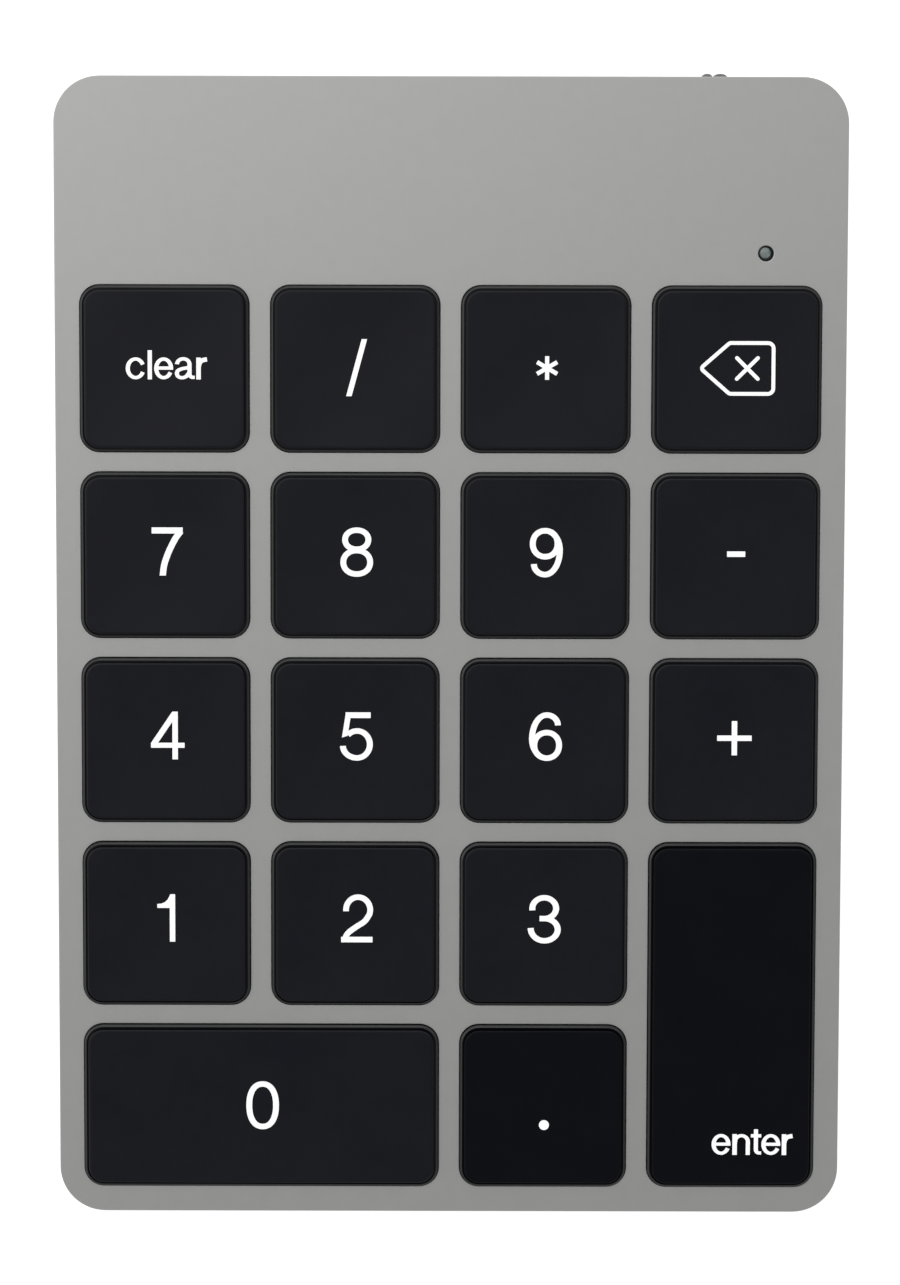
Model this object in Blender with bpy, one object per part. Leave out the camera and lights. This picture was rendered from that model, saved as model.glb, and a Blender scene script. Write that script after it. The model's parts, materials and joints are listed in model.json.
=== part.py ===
"""Numeric keypad: a slim wireless wedge with eighteen scissor keys in an aluminium case.

Units are metres and +Z is up. The user sits at -Y, the charging port faces +Y.
Everything under the sloping top is laid out in the frame of the empty called deck:
its X is the world's X, its Y runs up the slope and its Z stands square to the plate.
Height 0 of the deck is the top face of the plate.
"""

import math

import bmesh
import bpy
from mathutils import Vector

MM = 0.001

# Case
PLATE_WIDTH = 79.1 * MM
PLATE_LENGTH = 114.8 * MM
PLATE_CORNER = 4.6 * MM
PLATE_THICKNESS = 1.0 * MM
PLATE_EDGE_ROUND = 0.2 * MM
WALL = 1.2 * MM
SLOPE = math.radians(3.5)
BACK_HEIGHT = 12.4 * MM
FOOT_HEIGHT = 0.8 * MM
COVER_THICKNESS = 0.9 * MM
COVER_GAP = 0.15 * MM

# Key field
PITCH_X = 19.05 * MM
PITCH_Y = 18.69 * MM
WELL_WIDTH = 16.99 * MM
WELL_LENGTH = 16.77 * MM
WELL_CORNER = 2.0 * MM
FIRST_ROW_Y = 28.33 * MM
COLUMNS = 4
KEYS = (  # name, first column, first row, columns wide, rows long
    ("clear", 0, 0, 1, 1),
    ("divide", 1, 0, 1, 1),
    ("multiply", 2, 0, 1, 1),
    ("backspace", 3, 0, 1, 1),
    ("7", 0, 1, 1, 1),
    ("8", 1, 1, 1, 1),
    ("9", 2, 1, 1, 1),
    ("minus", 3, 1, 1, 1),
    ("4", 0, 2, 1, 1),
    ("5", 1, 2, 1, 1),
    ("6", 2, 2, 1, 1),
    ("plus", 3, 2, 1, 1),
    ("1", 0, 3, 1, 1),
    ("2", 1, 3, 1, 1),
    ("3", 2, 3, 1, 1),
    ("enter", 3, 3, 1, 2),
    ("0", 0, 4, 2, 1),
    ("point", 2, 4, 1, 1),
)

# Keycap, heights from the plate's top face
CAP_CLEARANCE = 0.15 * MM
CAP_TOP = 0.9 * MM
CAP_BOTTOM = -1.2 * MM
CAP_CEILING = 0.0
CAP_WALL = 0.9 * MM
CAP_DRAFT = 0.22 * MM
CAP_EDGE_ROUND = 0.2 * MM
STEM_RADIUS = 1.4 * MM
STEM_LENGTH = 0.3 * MM
RAIL = (0.6 * MM, 3.4 * MM, 0.8 * MM)
TRAVEL = 1.5 * MM

# Scissor lever, from its base pivot to its sliding end
LEVER_REACH = 9.0 * MM
LEVER_WIDTH = 11.4 * MM
LEVER_BAR = 1.1 * MM
LEVER_THICKNESS = 0.55 * MM
LEVER_RISE = 2.0 * MM
LEVER_PIVOT_HEIGHT = -2.4 * MM
HOOK = (0.6 * MM, 1.8 * MM)
HOOK_X = 6.3 * MM
HOOK_TOP = -2.0 * MM

# Stabiliser wires of the two long keys
WIRE_RADIUS = 0.3 * MM
WIRE_ARM = 6.0 * MM
WIRE_HALF_SPAN = 13.0 * MM
WIRE_HEIGHT = -0.5 * MM
WIRE_RISE = 1.8 * MM
WIRE_OFFSET_0 = 6.0 * MM
WIRE_OFFSET_ENTER = 7.0 * MM

# Switching layers under the keys: (top, bottom) heights
DOME_SHEET = (-2.75 * MM, -2.95 * MM)
MEMBRANE = (-3.0 * MM, -3.25 * MM)
BACKPLATE = (-3.3 * MM, -3.7 * MM)
LAYER_HALF_WIDTH = 37.5 * MM
LAYER_FRONT = -55.6 * MM
LAYER_BACK = 37.9 * MM
DOME_BASE_RADIUS = 3.1 * MM
DOME_TOP_RADIUS = 1.5 * MM
DOME_TOP = -0.4 * MM
DOME_SKIN = 0.35 * MM
TAIL_WIDTH = 14.0 * MM
TAIL_END = 42.2 * MM

# Circuit board and what it carries, deck frame
BOARD = (-2.0 * MM, -2.8 * MM)
BOARD_FRONT = 39.2 * MM
BOARD_BACK = 55.4 * MM
BOARD_HALF_WIDTH = 37.2 * MM
UNDER_BOARD = BOARD[1] - 0.05 * MM

PORT_WIDTH = 8.94 * MM
PORT_HEIGHT = 3.2 * MM
PORT_DEPTH = 7.3 * MM
PORT_WALL = 0.3 * MM
PORT_RECESS = 0.2 * MM
PORT_Z = UNDER_BOARD - PORT_HEIGHT / 2
PORT_OPENING_GAP = 0.18 * MM
TONGUE = (6.7 * MM, 4.9 * MM, 0.7 * MM)

KNOB_WIDTH = 2.63 * MM
KNOB_HEIGHT = 1.5 * MM
KNOB_PROUD = 0.38 * MM
KNOB_X = 26.34 * MM
KNOB_Z = -4.3 * MM
KNOB_TRAVEL = 2.0 * MM
KNOB_BACK = 2.0 * MM
KNOB_GROOVE = (0.36 * MM, 0.26 * MM)
SLOT_GAP = 0.15 * MM
SWITCH_BODY = (8.6 * MM, 3.6 * MM, 2.9 * MM)
SWITCH_FRONT = 55.0 * MM
STEM_SLOT = (1.2 * MM, 1.0 * MM, 0.9 * MM)

LAMP_X = 31.4 * MM
LAMP_Y = 39.92 * MM
LAMP_RADIUS = 0.82 * MM
LAMP_FLANGE_RADIUS = 1.3 * MM

RADIO_SHIELD = (12.0 * MM, 9.5 * MM, 1.6 * MM)
RADIO_PLACE = (-20.0 * MM, 47.0 * MM)
BATTERY_PLUG = (5.2 * MM, 3.6 * MM, 1.9 * MM)
BATTERY_PLUG_PLACE = (16.0 * MM, 42.4 * MM)
TAIL_LATCH = (TAIL_WIDTH + 2.0 * MM, 3.6 * MM, 1.1 * MM)
TAIL_LATCH_FRONT = BOARD_FRONT + 0.4 * MM
TAIL_GRIP = 0.08 * MM

# World frame
SCREW_PLACES = ((-34.5 * MM, 50.0 * MM), (34.5 * MM, 50.0 * MM),
                (-PITCH_X, -18.4 * MM), (PITCH_X, -18.4 * MM))
BOSS_RADIUS = 1.75 * MM
SCREW_SHANK_RADIUS = 0.7 * MM
SCREW_HEAD_RADIUS = 1.5 * MM
SCREW_HEAD_DEPTH = 0.5 * MM
SCREW_LENGTH = 3.6 * MM
SCREW_GAP = 0.1 * MM
BATTERY = (46.0 * MM, 31.0 * MM, 2.9 * MM)
BATTERY_Y = 20.5 * MM
FOOT_SIZE = (60.0 * MM, 6.0 * MM)
FOOT_Y = 46.0 * MM
FOOT_INSET = 0.2 * MM
RIB_PLACES = (-46.0 * MM, -28.0 * MM, 2.0 * MM, 38.0 * MM)
RIB_SIZE = (56.0 * MM, 1.0 * MM)

CORNER_STEPS = 3
ROUND_SIDES = 12
FAR = 30.0 * MM

FINISHES = {  # base colour, roughness, metallic
    "anodised_aluminium": ((0.36, 0.36, 0.35), 0.36, 1.0),
    "keycap_plastic": ((0.018, 0.020, 0.025), 0.42, 0.0),
    "cover_plastic": ((0.040, 0.041, 0.043), 0.55, 0.0),
    "lever_plastic": ((0.62, 0.62, 0.60), 0.45, 0.0),
    "spring_steel": ((0.55, 0.55, 0.54), 0.28, 1.0),
    "backplate_steel": ((0.48, 0.48, 0.49), 0.35, 1.0),
    "silicone": ((0.72, 0.74, 0.74), 0.50, 0.0),
    "membrane_film": ((0.42, 0.45, 0.40), 0.35, 0.0),
    "board_laminate": ((0.010, 0.070, 0.035), 0.40, 0.0),
    "battery_pouch": ((0.60, 0.61, 0.63), 0.30, 1.0),
    "port_steel": ((0.50, 0.50, 0.51), 0.25, 1.0),
    "black_plastic": ((0.015, 0.015, 0.016), 0.45, 0.0),
    "knob_plastic": ((0.36, 0.36, 0.35), 0.40, 0.0),
    "connector_plastic": ((0.62, 0.62, 0.60), 0.45, 0.0),
    "lens_plastic": ((0.35, 0.36, 0.37), 0.12, 0.0),
    "foot_rubber": ((0.020, 0.020, 0.020), 0.80, 0.0),
    "screw_steel": ((0.10, 0.10, 0.11), 0.35, 1.0),
}


# ---------------------------------------------------------------- scene and frames

for leftover in list(bpy.data.objects):
    bpy.data.objects.remove(leftover, do_unlink=True)

pieces = bpy.data.collections.new("numeric_keypad")
cutters = bpy.data.collections.new("cutters")
bpy.context.scene.collection.children.link(pieces)
bpy.context.scene.collection.children.link(cutters)

half_rise = PLATE_LENGTH / 2 * math.sin(SLOPE)
wall_overhang = (BACK_HEIGHT - FOOT_HEIGHT) * math.tan(SLOPE)

deck = bpy.data.objects.new("deck", None)
deck.rotation_euler = (SLOPE, 0.0, 0.0)
deck.location = (0.0, -wall_overhang / 2, BACK_HEIGHT - half_rise)
pieces.objects.link(deck)
bpy.context.view_layer.update()


def finish(name):
    """The material of that name, made the first time it is asked for."""
    found = bpy.data.materials.get(name)
    if found:
        return found
    colour, roughness, metallic = FINISHES[name]
    made = bpy.data.materials.new(name)
    made.use_nodes = True
    shader = made.node_tree.nodes["Principled BSDF"]
    shader.inputs["Base Color"].default_value = (*colour, 1.0)
    shader.inputs["Roughness"].default_value = roughness
    shader.inputs["Metallic"].default_value = metallic
    return made


def node(name, mesh, material, location=(0, 0, 0), turn=(0, 0, 0), frame=deck):
    """A finished sub-part at its place in a frame."""
    made = bpy.data.objects.new(name, mesh)
    made.parent = frame
    made.location = location
    made.rotation_euler = turn
    pieces.objects.link(made)
    if not mesh.materials:
        mesh.materials.append(finish(material))
    mesh.shade_smooth()
    mesh.set_sharp_from_angle(angle=math.radians(32))
    bpy.context.view_layer.update()
    return made


def tool(mesh, location=(0, 0, 0), turn=(0, 0, 0), frame=deck):
    """A hidden shape that cuts, or is added to, a sub-part."""
    made = bpy.data.objects.new("tool_" + mesh.name, mesh)
    made.parent = frame
    made.location = location
    made.rotation_euler = turn
    made.hide_render = True
    made.display_type = "WIRE"
    cutters.objects.link(made)
    bpy.context.view_layer.update()
    return made


def combine(target, operation, other):
    """Boolean of a sub-part with a tool, left as a modifier."""
    change = target.modifiers.new(other.name, "BOOLEAN")
    change.operation = operation
    change.solver = "EXACT"
    change.object = other


def settled(target):
    """The mesh that an object shows once its modifiers have run."""
    bpy.context.view_layer.update()
    seen = target.evaluated_get(bpy.context.evaluated_depsgraph_get())
    return bpy.data.meshes.new_from_object(seen)


# ---------------------------------------------------------------- shapes

def rounded(width, length, radius, x=0.0, y=0.0, steps=CORNER_STEPS):
    """Outline of a rounded rectangle about (x, y), counter-clockwise."""
    outline = []
    for quarter, (side_x, side_y) in enumerate(((1, 1), (-1, 1), (-1, -1), (1, -1))):
        centre_x = x + side_x * (width / 2 - radius)
        centre_y = y + side_y * (length / 2 - radius)
        for step in range(steps + 1):
            angle = math.radians(90) * (quarter + step / steps)
            outline.append((centre_x + radius * math.cos(angle), centre_y + radius * math.sin(angle)))
    return outline


def box_outline(width, length, x=0.0, y=0.0):
    """Outline of a plain rectangle about (x, y)."""
    return [(x + side_x * width / 2, y + side_y * length / 2)
            for side_x, side_y in ((1, 1), (-1, 1), (-1, -1), (1, -1))]


def circle(radius, x=0.0, y=0.0, sides=ROUND_SIDES):
    """Outline of a circle about (x, y)."""
    turns = [math.tau * side / sides for side in range(sides)]
    return [(x + radius * math.cos(turn), y + radius * math.sin(turn)) for turn in turns]


def prism(name, outlines, low, high, round_top=0.0, draft=0.0):
    """Outlines filled and raised from low to high; the first edge of the top may be rounded."""
    curve = bpy.data.curves.new(name, "CURVE")
    curve.dimensions = "2D"
    curve.fill_mode = "BOTH"
    curve.extrude = (high - low) / 2
    for outline in outlines:
        spline = curve.splines.new("POLY")
        spline.points.add(len(outline) - 1)
        spline.use_cyclic_u = True
        for point, (x, y) in zip(spline.points, outline):
            point.co = (x, y, 0.0, 1.0)
    source = bpy.data.objects.new(name, curve)
    cutters.objects.link(source)
    mesh = settled(source)
    bpy.data.objects.remove(source)
    shape = bmesh.new()
    shape.from_mesh(mesh)
    bmesh.ops.translate(shape, verts=shape.verts, vec=(0, 0, (low + high) / 2))
    bmesh.ops.remove_doubles(shape, verts=shape.verts, dist=0.001 * MM)
    if round_top or draft:
        bmesh.ops.dissolve_limit(shape, angle_limit=math.radians(1), verts=shape.verts,
                                 edges=shape.edges)
    bmesh.ops.recalc_face_normals(shape, faces=shape.faces)
    middle = (low + high) / 2
    if draft:
        half = Vector([max(abs(vert.co[axis]) for vert in shape.verts) for axis in (0, 1)])
        for vert in shape.verts:
            if vert.co.z > middle:
                vert.co.x *= 1 - draft / half.x
                vert.co.y *= 1 - draft / half.y
    if round_top:
        rim = [edge for edge in shape.edges
               if min(vert.co.z for vert in edge.verts) > middle
               and edge.calc_face_angle() > math.radians(45)]
        bmesh.ops.bevel(shape, geom=rim, offset=round_top, segments=2, profile=0.5,
                        affect="EDGES")
    shape.to_mesh(mesh)
    shape.free()
    mesh.name = name
    return mesh


def merged(name, meshes):
    """Several separate bodies in one mesh, for use as a tool."""
    shape = bmesh.new()
    for mesh in meshes:
        shape.from_mesh(mesh)
    whole = bpy.data.meshes.new(name)
    shape.to_mesh(whole)
    shape.free()
    return whole


def cone(name, radius_low, radius_high, low, high, x=0.0, y=0.0, sides=ROUND_SIDES):
    """An upright cone or cylinder from low to high at (x, y)."""
    shape = bmesh.new()
    bmesh.ops.create_cone(shape, cap_ends=True, segments=sides, radius1=radius_low,
                          radius2=radius_high, depth=high - low)
    bmesh.ops.translate(shape, verts=shape.verts, vec=(x, y, (low + high) / 2))
    mesh = bpy.data.meshes.new(name)
    shape.to_mesh(mesh)
    shape.free()
    return mesh


def block(name, width, length, low, high, x=0.0, y=0.0):
    """An upright box from low to high about (x, y)."""
    shape = bmesh.new()
    bmesh.ops.create_cube(shape, size=1.0)
    bmesh.ops.scale(shape, verts=shape.verts, vec=(width, length, high - low))
    bmesh.ops.translate(shape, verts=shape.verts, vec=(x, y, (low + high) / 2))
    mesh = bpy.data.meshes.new(name)
    shape.to_mesh(mesh)
    shape.free()
    return mesh


# ---------------------------------------------------------------- where things are

def key_place(column, row, wide, long):
    """Centre of a key on the deck."""
    x = (column + (wide - 1) / 2 - (COLUMNS - 1) / 2) * PITCH_X
    y = FIRST_ROW_Y - (row + (long - 1) / 2) * PITCH_Y
    return x, y


def well_size(wide, long):
    """Width and length of the opening that a key stands in."""
    return WELL_WIDTH + (wide - 1) * PITCH_X, WELL_LENGTH + (long - 1) * PITCH_Y


def on_deck(x, world_y, world_z):
    """Deck coordinates of a world point."""
    return deck.matrix_world.inverted() @ Vector((x, world_y, world_z))


def plate_underside(world_y, depth):
    """World height of the level that lies depth below the plate's top, at a world Y."""
    along = (world_y - deck.location.y) / math.cos(SLOPE)
    return deck.location.z + along * math.sin(SLOPE) - depth / math.cos(SLOPE)


# ---------------------------------------------------------------- case

def make_top_case():
    """Plate and four walls in one piece, with wells, openings and screw bosses."""
    bottom = -(BACK_HEIGHT + WALL)
    outline = rounded(PLATE_WIDTH, PLATE_LENGTH, PLATE_CORNER, steps=6)
    case = node("top_case", prism("top_case", [outline], bottom, 0.0, round_top=PLATE_EDGE_ROUND),
                "anodised_aluminium")
    cavity = rounded(PLATE_WIDTH - 2 * WALL, PLATE_LENGTH - 2 * WALL, PLATE_CORNER - WALL, steps=4)
    combine(case, "DIFFERENCE", tool(prism("cavity", [cavity], bottom - WALL, -PLATE_THICKNESS)))

    bosses = []
    holes = []
    boss_foot = FOOT_HEIGHT + COVER_THICKNESS + SCREW_GAP
    for x, y in SCREW_PLACES:
        level = plate_underside(y, PLATE_THICKNESS / 2)
        bosses.append(cone("boss", BOSS_RADIUS, BOSS_RADIUS, boss_foot, level, x, y))
        depth = boss_foot + SCREW_LENGTH
        pilot = SCREW_SHANK_RADIUS + SCREW_GAP
        holes.append(cone("pilot", pilot, pilot, boss_foot - WALL, min(depth, level - WALL), x, y))
    combine(case, "UNION", tool(merged("bosses", bosses), frame=None))
    combine(case, "DIFFERENCE", tool(merged("pilots", holes), frame=None))

    wells = []
    for _, column, row, wide, long in KEYS:
        width, length = well_size(wide, long)
        wells.append(rounded(width, length, WELL_CORNER, *key_place(column, row, wide, long)))
    wells.append(circle(LAMP_RADIUS + 0.05 * MM, LAMP_X, LAMP_Y))
    combine(case, "DIFFERENCE", tool(prism("wells", wells, -1.5 * PLATE_THICKNESS, PLATE_THICKNESS)))

    through = PLATE_LENGTH / 2 - 1.6 * WALL
    gap = 2 * PORT_OPENING_GAP
    port = rounded(PORT_WIDTH + gap, PORT_HEIGHT + gap, (PORT_HEIGHT + gap) / 2 * 0.98, steps=4)
    combine(case, "DIFFERENCE", tool(prism("port_opening", [port], 0.0, 3 * WALL),
                                     (0.0, through, PORT_Z), (-math.pi / 2, 0, 0)))
    slot_width = KNOB_WIDTH + KNOB_TRAVEL + 2 * SLOT_GAP
    slot_height = KNOB_HEIGHT + 2 * SLOT_GAP
    slot = rounded(slot_width, slot_height, 0.35 * MM, steps=2)
    combine(case, "DIFFERENCE", tool(prism("switch_slot", [slot], 0.0, 3 * WALL),
                                     (KNOB_X - KNOB_TRAVEL / 2, through, KNOB_Z),
                                     (-math.pi / 2, 0, 0)))
    below = block("below", 2 * PLATE_WIDTH, 2 * PLATE_LENGTH, FOOT_HEIGHT - FAR, FOOT_HEIGHT)
    combine(case, "DIFFERENCE", tool(below, frame=None))


def make_bottom_cover():
    """Flat cover between the walls, with ribs, foot pockets and countersunk holes."""
    top = FOOT_HEIGHT + COVER_THICKNESS
    inner = PLATE_LENGTH / 2 - WALL
    ends = []
    for side in (-1, 1):
        reach = (deck.location.z + side * inner * math.sin(SLOPE) - top) / math.cos(SLOPE)
        ends.append(deck.location.y + side * inner * math.cos(SLOPE) + reach * math.sin(SLOPE))
    width = PLATE_WIDTH - 2 * WALL - 2 * COVER_GAP
    length = ends[1] - ends[0] - 2 * COVER_GAP
    outline = rounded(width, length, PLATE_CORNER - WALL - COVER_GAP, 0.0, sum(ends) / 2, steps=4)
    cover = node("bottom_cover", prism("bottom_cover", [outline], FOOT_HEIGHT, top),
                 "cover_plastic", frame=None)
    holes = [circle(SCREW_SHANK_RADIUS + SCREW_GAP, x, y) for x, y in SCREW_PLACES]
    punch = prism("screw_holes", holes, FOOT_HEIGHT - WALL, top + WALL)
    combine(cover, "DIFFERENCE", tool(punch, frame=None))
    ribs = []
    for y in RIB_PLACES:
        ceiling = plate_underside(y - RIB_SIZE[1] / 2, -BACKPLATE[1]) - 3 * SCREW_GAP
        ribs.append(block("rib", *RIB_SIZE, top - 0.3 * MM, ceiling, 0.0, y))
    combine(cover, "UNION", tool(merged("ribs", ribs), frame=None))
    sinks = []
    for x, y in SCREW_PLACES:
        rim = SCREW_HEAD_RADIUS + SCREW_GAP
        floor = FOOT_HEIGHT - SCREW_GAP
        sinks.append(cone("sink", rim + SCREW_GAP, SCREW_SHANK_RADIUS + SCREW_GAP / 2, floor,
                          floor + SCREW_HEAD_DEPTH + 2.5 * SCREW_GAP, x, y))
    combine(cover, "DIFFERENCE", tool(merged("sinks", sinks), frame=None))
    pockets = []
    for side in (-1, 1):
        width = FOOT_SIZE[0] + 4 * SCREW_GAP
        length = FOOT_SIZE[1] + 4 * SCREW_GAP
        outline = rounded(width, length, length * 0.49, 0.0, side * FOOT_Y, steps=4)
        pockets.append(prism("pocket", [outline], FOOT_HEIGHT - WALL,
                             FOOT_HEIGHT + FOOT_INSET + 0.5 * SCREW_GAP))
    combine(cover, "DIFFERENCE", tool(merged("pockets", pockets), frame=None))


def make_feet():
    """Two rubber strips let into the cover."""
    for side, name in ((-1, "front_foot"), (1, "rear_foot")):
        outline = rounded(*FOOT_SIZE, FOOT_SIZE[1] * 0.49, steps=4)
        top = FOOT_HEIGHT + FOOT_INSET
        strip = prism(name, [[(x, -y) for x, y in outline]], -top, 0.0, round_top=0.2 * MM)
        node(name, strip, "foot_rubber", (0.0, side * FOOT_Y, 0.0), (math.pi, 0, 0), frame=None)


def make_screws():
    """Countersunk cover screws with a cross recess."""
    head = cone("screw_head", SCREW_HEAD_RADIUS, SCREW_SHANK_RADIUS, 0.0, SCREW_HEAD_DEPTH)
    shank = cone("shank", SCREW_SHANK_RADIUS, SCREW_SHANK_RADIUS, SCREW_HEAD_DEPTH / 2, SCREW_LENGTH)
    arm = 1.5 * MM
    recess_x = block("recess_x", arm, 0.3 * MM, -0.2 * MM, 0.3 * MM)
    recess_y = block("recess_y", 0.3 * MM, arm, -0.2 * MM, 0.3 * MM)
    pattern = tool(head, frame=None)
    combine(pattern, "UNION", tool(shank, frame=None))
    combine(pattern, "DIFFERENCE", tool(recess_x, frame=None))
    combine(pattern, "DIFFERENCE", tool(recess_y, frame=None))
    screw = settled(pattern)
    for number, (x, y) in enumerate(SCREW_PLACES, start=1):
        place = (x, y, FOOT_HEIGHT + 0.5 * SCREW_GAP)
        node("cover_screw_%d" % number, screw, "screw_steel", place, frame=None)


# ---------------------------------------------------------------- keys

def cap_mesh(width, length):
    """Keycap: a drafted shell with a stem for the dome and rails for the lever's end."""
    outer = rounded(width, length, WELL_CORNER - CAP_CLEARANCE)
    inner = rounded(width - 2 * CAP_WALL, length - 2 * CAP_WALL, WELL_CORNER - CAP_WALL, steps=1)
    cap = tool(prism("cap", [outer], CAP_BOTTOM, CAP_TOP, CAP_EDGE_ROUND, CAP_DRAFT), frame=None)
    combine(cap, "DIFFERENCE",
            tool(prism("cap_hollow", [inner], CAP_BOTTOM - WALL, CAP_CEILING), frame=None))
    root = CAP_CEILING + 0.2 * MM
    hangers = [cone("stem", STEM_RADIUS, STEM_RADIUS, CAP_CEILING - STEM_LENGTH, root, sides=8)]
    for side in (-1, 1):
        hangers.append(block("rail", RAIL[0], RAIL[1], CAP_CEILING - RAIL[2], root,
                             side * HOOK_X, -LEVER_REACH / 2))
    combine(cap, "UNION", tool(merged("hangers", hangers), frame=None))
    return settled(cap)


def lever_mesh():
    """Outer scissor lever: a flat frame whose origin is its base pivot."""
    length = LEVER_REACH + LEVER_THICKNESS
    outline = box_outline(LEVER_WIDTH, length, 0.0, -LEVER_REACH / 2)
    window = box_outline(LEVER_WIDTH - 2 * LEVER_BAR, length - 2 * LEVER_BAR, 0.0, -LEVER_REACH / 2)
    return prism("lever", [outline, window], -LEVER_THICKNESS / 2, LEVER_THICKNESS / 2)


def make_keys():
    """Every keycap, each with the scissor lever that carries it."""
    lever = lever_mesh()
    tilt = -math.asin(LEVER_RISE / LEVER_REACH)
    caps = {}
    for name, column, row, wide, long in KEYS:
        x, y = key_place(column, row, wide, long)
        width, length = (size - 2 * CAP_CLEARANCE for size in well_size(wide, long))
        if (wide, long) not in caps:
            caps[wide, long] = cap_mesh(width, length)
        node("key_" + name, caps[wide, long], "keycap_plastic", (x, y, 0.0))
        pivot = (x, y + LEVER_REACH / 2, LEVER_PIVOT_HEIGHT)
        node("scissor_" + name, lever, "lever_plastic", pivot, (tilt, 0, 0))


def make_stabiliser(name, key, offset, turn):
    """A bent wire that keeps a long key level; its origin is on the bar held by the cap."""
    place = next(key_place(*entry[1:]) for entry in KEYS if entry[0] == key)
    wire = bpy.data.curves.new(name, "CURVE")
    wire.dimensions = "3D"
    wire.bevel_depth = WIRE_RADIUS
    wire.bevel_resolution = 1
    wire.use_fill_caps = True
    run = math.sqrt(WIRE_ARM ** 2 - WIRE_RISE ** 2)
    route = [(-WIRE_HALF_SPAN, -run, -WIRE_RISE), (-WIRE_HALF_SPAN, 0, 0),
             (WIRE_HALF_SPAN, 0, 0), (WIRE_HALF_SPAN, -run, -WIRE_RISE)]
    spline = wire.splines.new("POLY")
    spline.points.add(len(route) - 1)
    for point, corner in zip(spline.points, route):
        point.co = (*corner, 1.0)
    wire.materials.append(finish("spring_steel"))
    made = bpy.data.objects.new(name, wire)
    made.parent = deck
    away = Vector((-math.sin(turn), math.cos(turn))) * offset
    made.location = (place[0] + away.x, place[1] + away.y, WIRE_HEIGHT)
    made.rotation_euler = (0, 0, turn)
    pieces.objects.link(made)


# ---------------------------------------------------------------- switching layers

def boss_holes():
    """Clearance round the two bosses that pass through the sheets."""
    holes = []
    for x, y in SCREW_PLACES:
        middle = on_deck(x, y, plate_underside(y, -MEMBRANE[0]))
        if middle.y < LAYER_BACK:
            holes.append(circle(BOSS_RADIUS + 0.3 * MM, middle.x, middle.y, sides=10))
    return holes


def hook_holes(gap):
    """Openings for the hooks that rise from the backplate."""
    return [box_outline(HOOK[0] + 2 * gap, HOOK[1] + 2 * gap, x, y) for x, y in hook_places()]


def hook_places():
    """Two lever hooks for each key."""
    places = []
    for _, column, row, wide, long in KEYS:
        x, y = key_place(column, row, wide, long)
        places += [(x + side * HOOK_X, y + LEVER_REACH / 2) for side in (-1, 1)]
    return places


def make_layer(name, material, levels, margin, holes):
    """One sheet under the keys, with the openings that it needs."""
    top, bottom = levels
    length = LAYER_BACK - LAYER_FRONT - 2 * margin
    outline = rounded(2 * (LAYER_HALF_WIDTH - margin), length, 2.6 * MM, 0.0,
                      (LAYER_BACK + LAYER_FRONT) / 2)
    sheet = node(name, prism(name, [outline], bottom, top), material)
    combine(sheet, "DIFFERENCE", tool(prism(name + "_holes", holes, bottom - WALL, top + WALL)))
    return sheet


def make_layers():
    """Silicone dome sheet, switch membrane with its tail, and the steel backplate."""
    openings = [*boss_holes(), *hook_holes(0.3 * MM)]
    sheet = make_layer("dome_sheet", "silicone", DOME_SHEET, 0.5 * MM, openings)
    domes = []
    hollows = []
    for _, column, row, wide, long in KEYS:
        x, y = key_place(column, row, wide, long)
        foot = DOME_SHEET[0] - 0.1 * MM
        domes.append(cone("dome", DOME_BASE_RADIUS, DOME_TOP_RADIUS, foot, DOME_TOP, x, y, sides=8))
        hollows.append(cone("hollow", DOME_BASE_RADIUS - DOME_SKIN, DOME_TOP_RADIUS - DOME_SKIN,
                            DOME_SHEET[1] - 0.1 * MM, DOME_TOP - 2 * DOME_SKIN, x, y, sides=8))
    combine(sheet, "UNION", tool(merged("domes", domes)))
    combine(sheet, "DIFFERENCE", tool(merged("hollows", hollows)))

    membrane = make_layer("membrane", "membrane_film", MEMBRANE, 0.0, openings)
    tail_start = LAYER_BACK - 1.0 * MM
    tail = block("tail", TAIL_WIDTH, TAIL_END - tail_start, MEMBRANE[1], MEMBRANE[0],
                 0.0, (TAIL_END + tail_start) / 2)
    combine(membrane, "UNION", tool(tail))

    plate = make_layer("backplate", "backplate_steel", BACKPLATE, 0.0, boss_holes())
    middle = (BACKPLATE[0] + BACKPLATE[1]) / 2
    hooks = [block("hook", *HOOK, middle, HOOK_TOP, x, y) for x, y in hook_places()]
    combine(plate, "UNION", tool(merged("hooks", hooks)))


# ---------------------------------------------------------------- electronics

def make_board():
    """Circuit board hung on the rear bosses."""
    length = BOARD_BACK - BOARD_FRONT
    outlines = [rounded(2 * BOARD_HALF_WIDTH, length, 3.0 * MM, 0.0, BOARD_FRONT + length / 2)]
    for x, y in SCREW_PLACES:
        middle = on_deck(x, y, plate_underside(y, -BOARD[0]))
        if middle.y > BOARD_FRONT:
            outlines.append(circle(BOSS_RADIUS + 0.3 * MM, middle.x, middle.y))
    node("main_board", prism("main_board", outlines, BOARD[1], BOARD[0]), "board_laminate")


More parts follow.
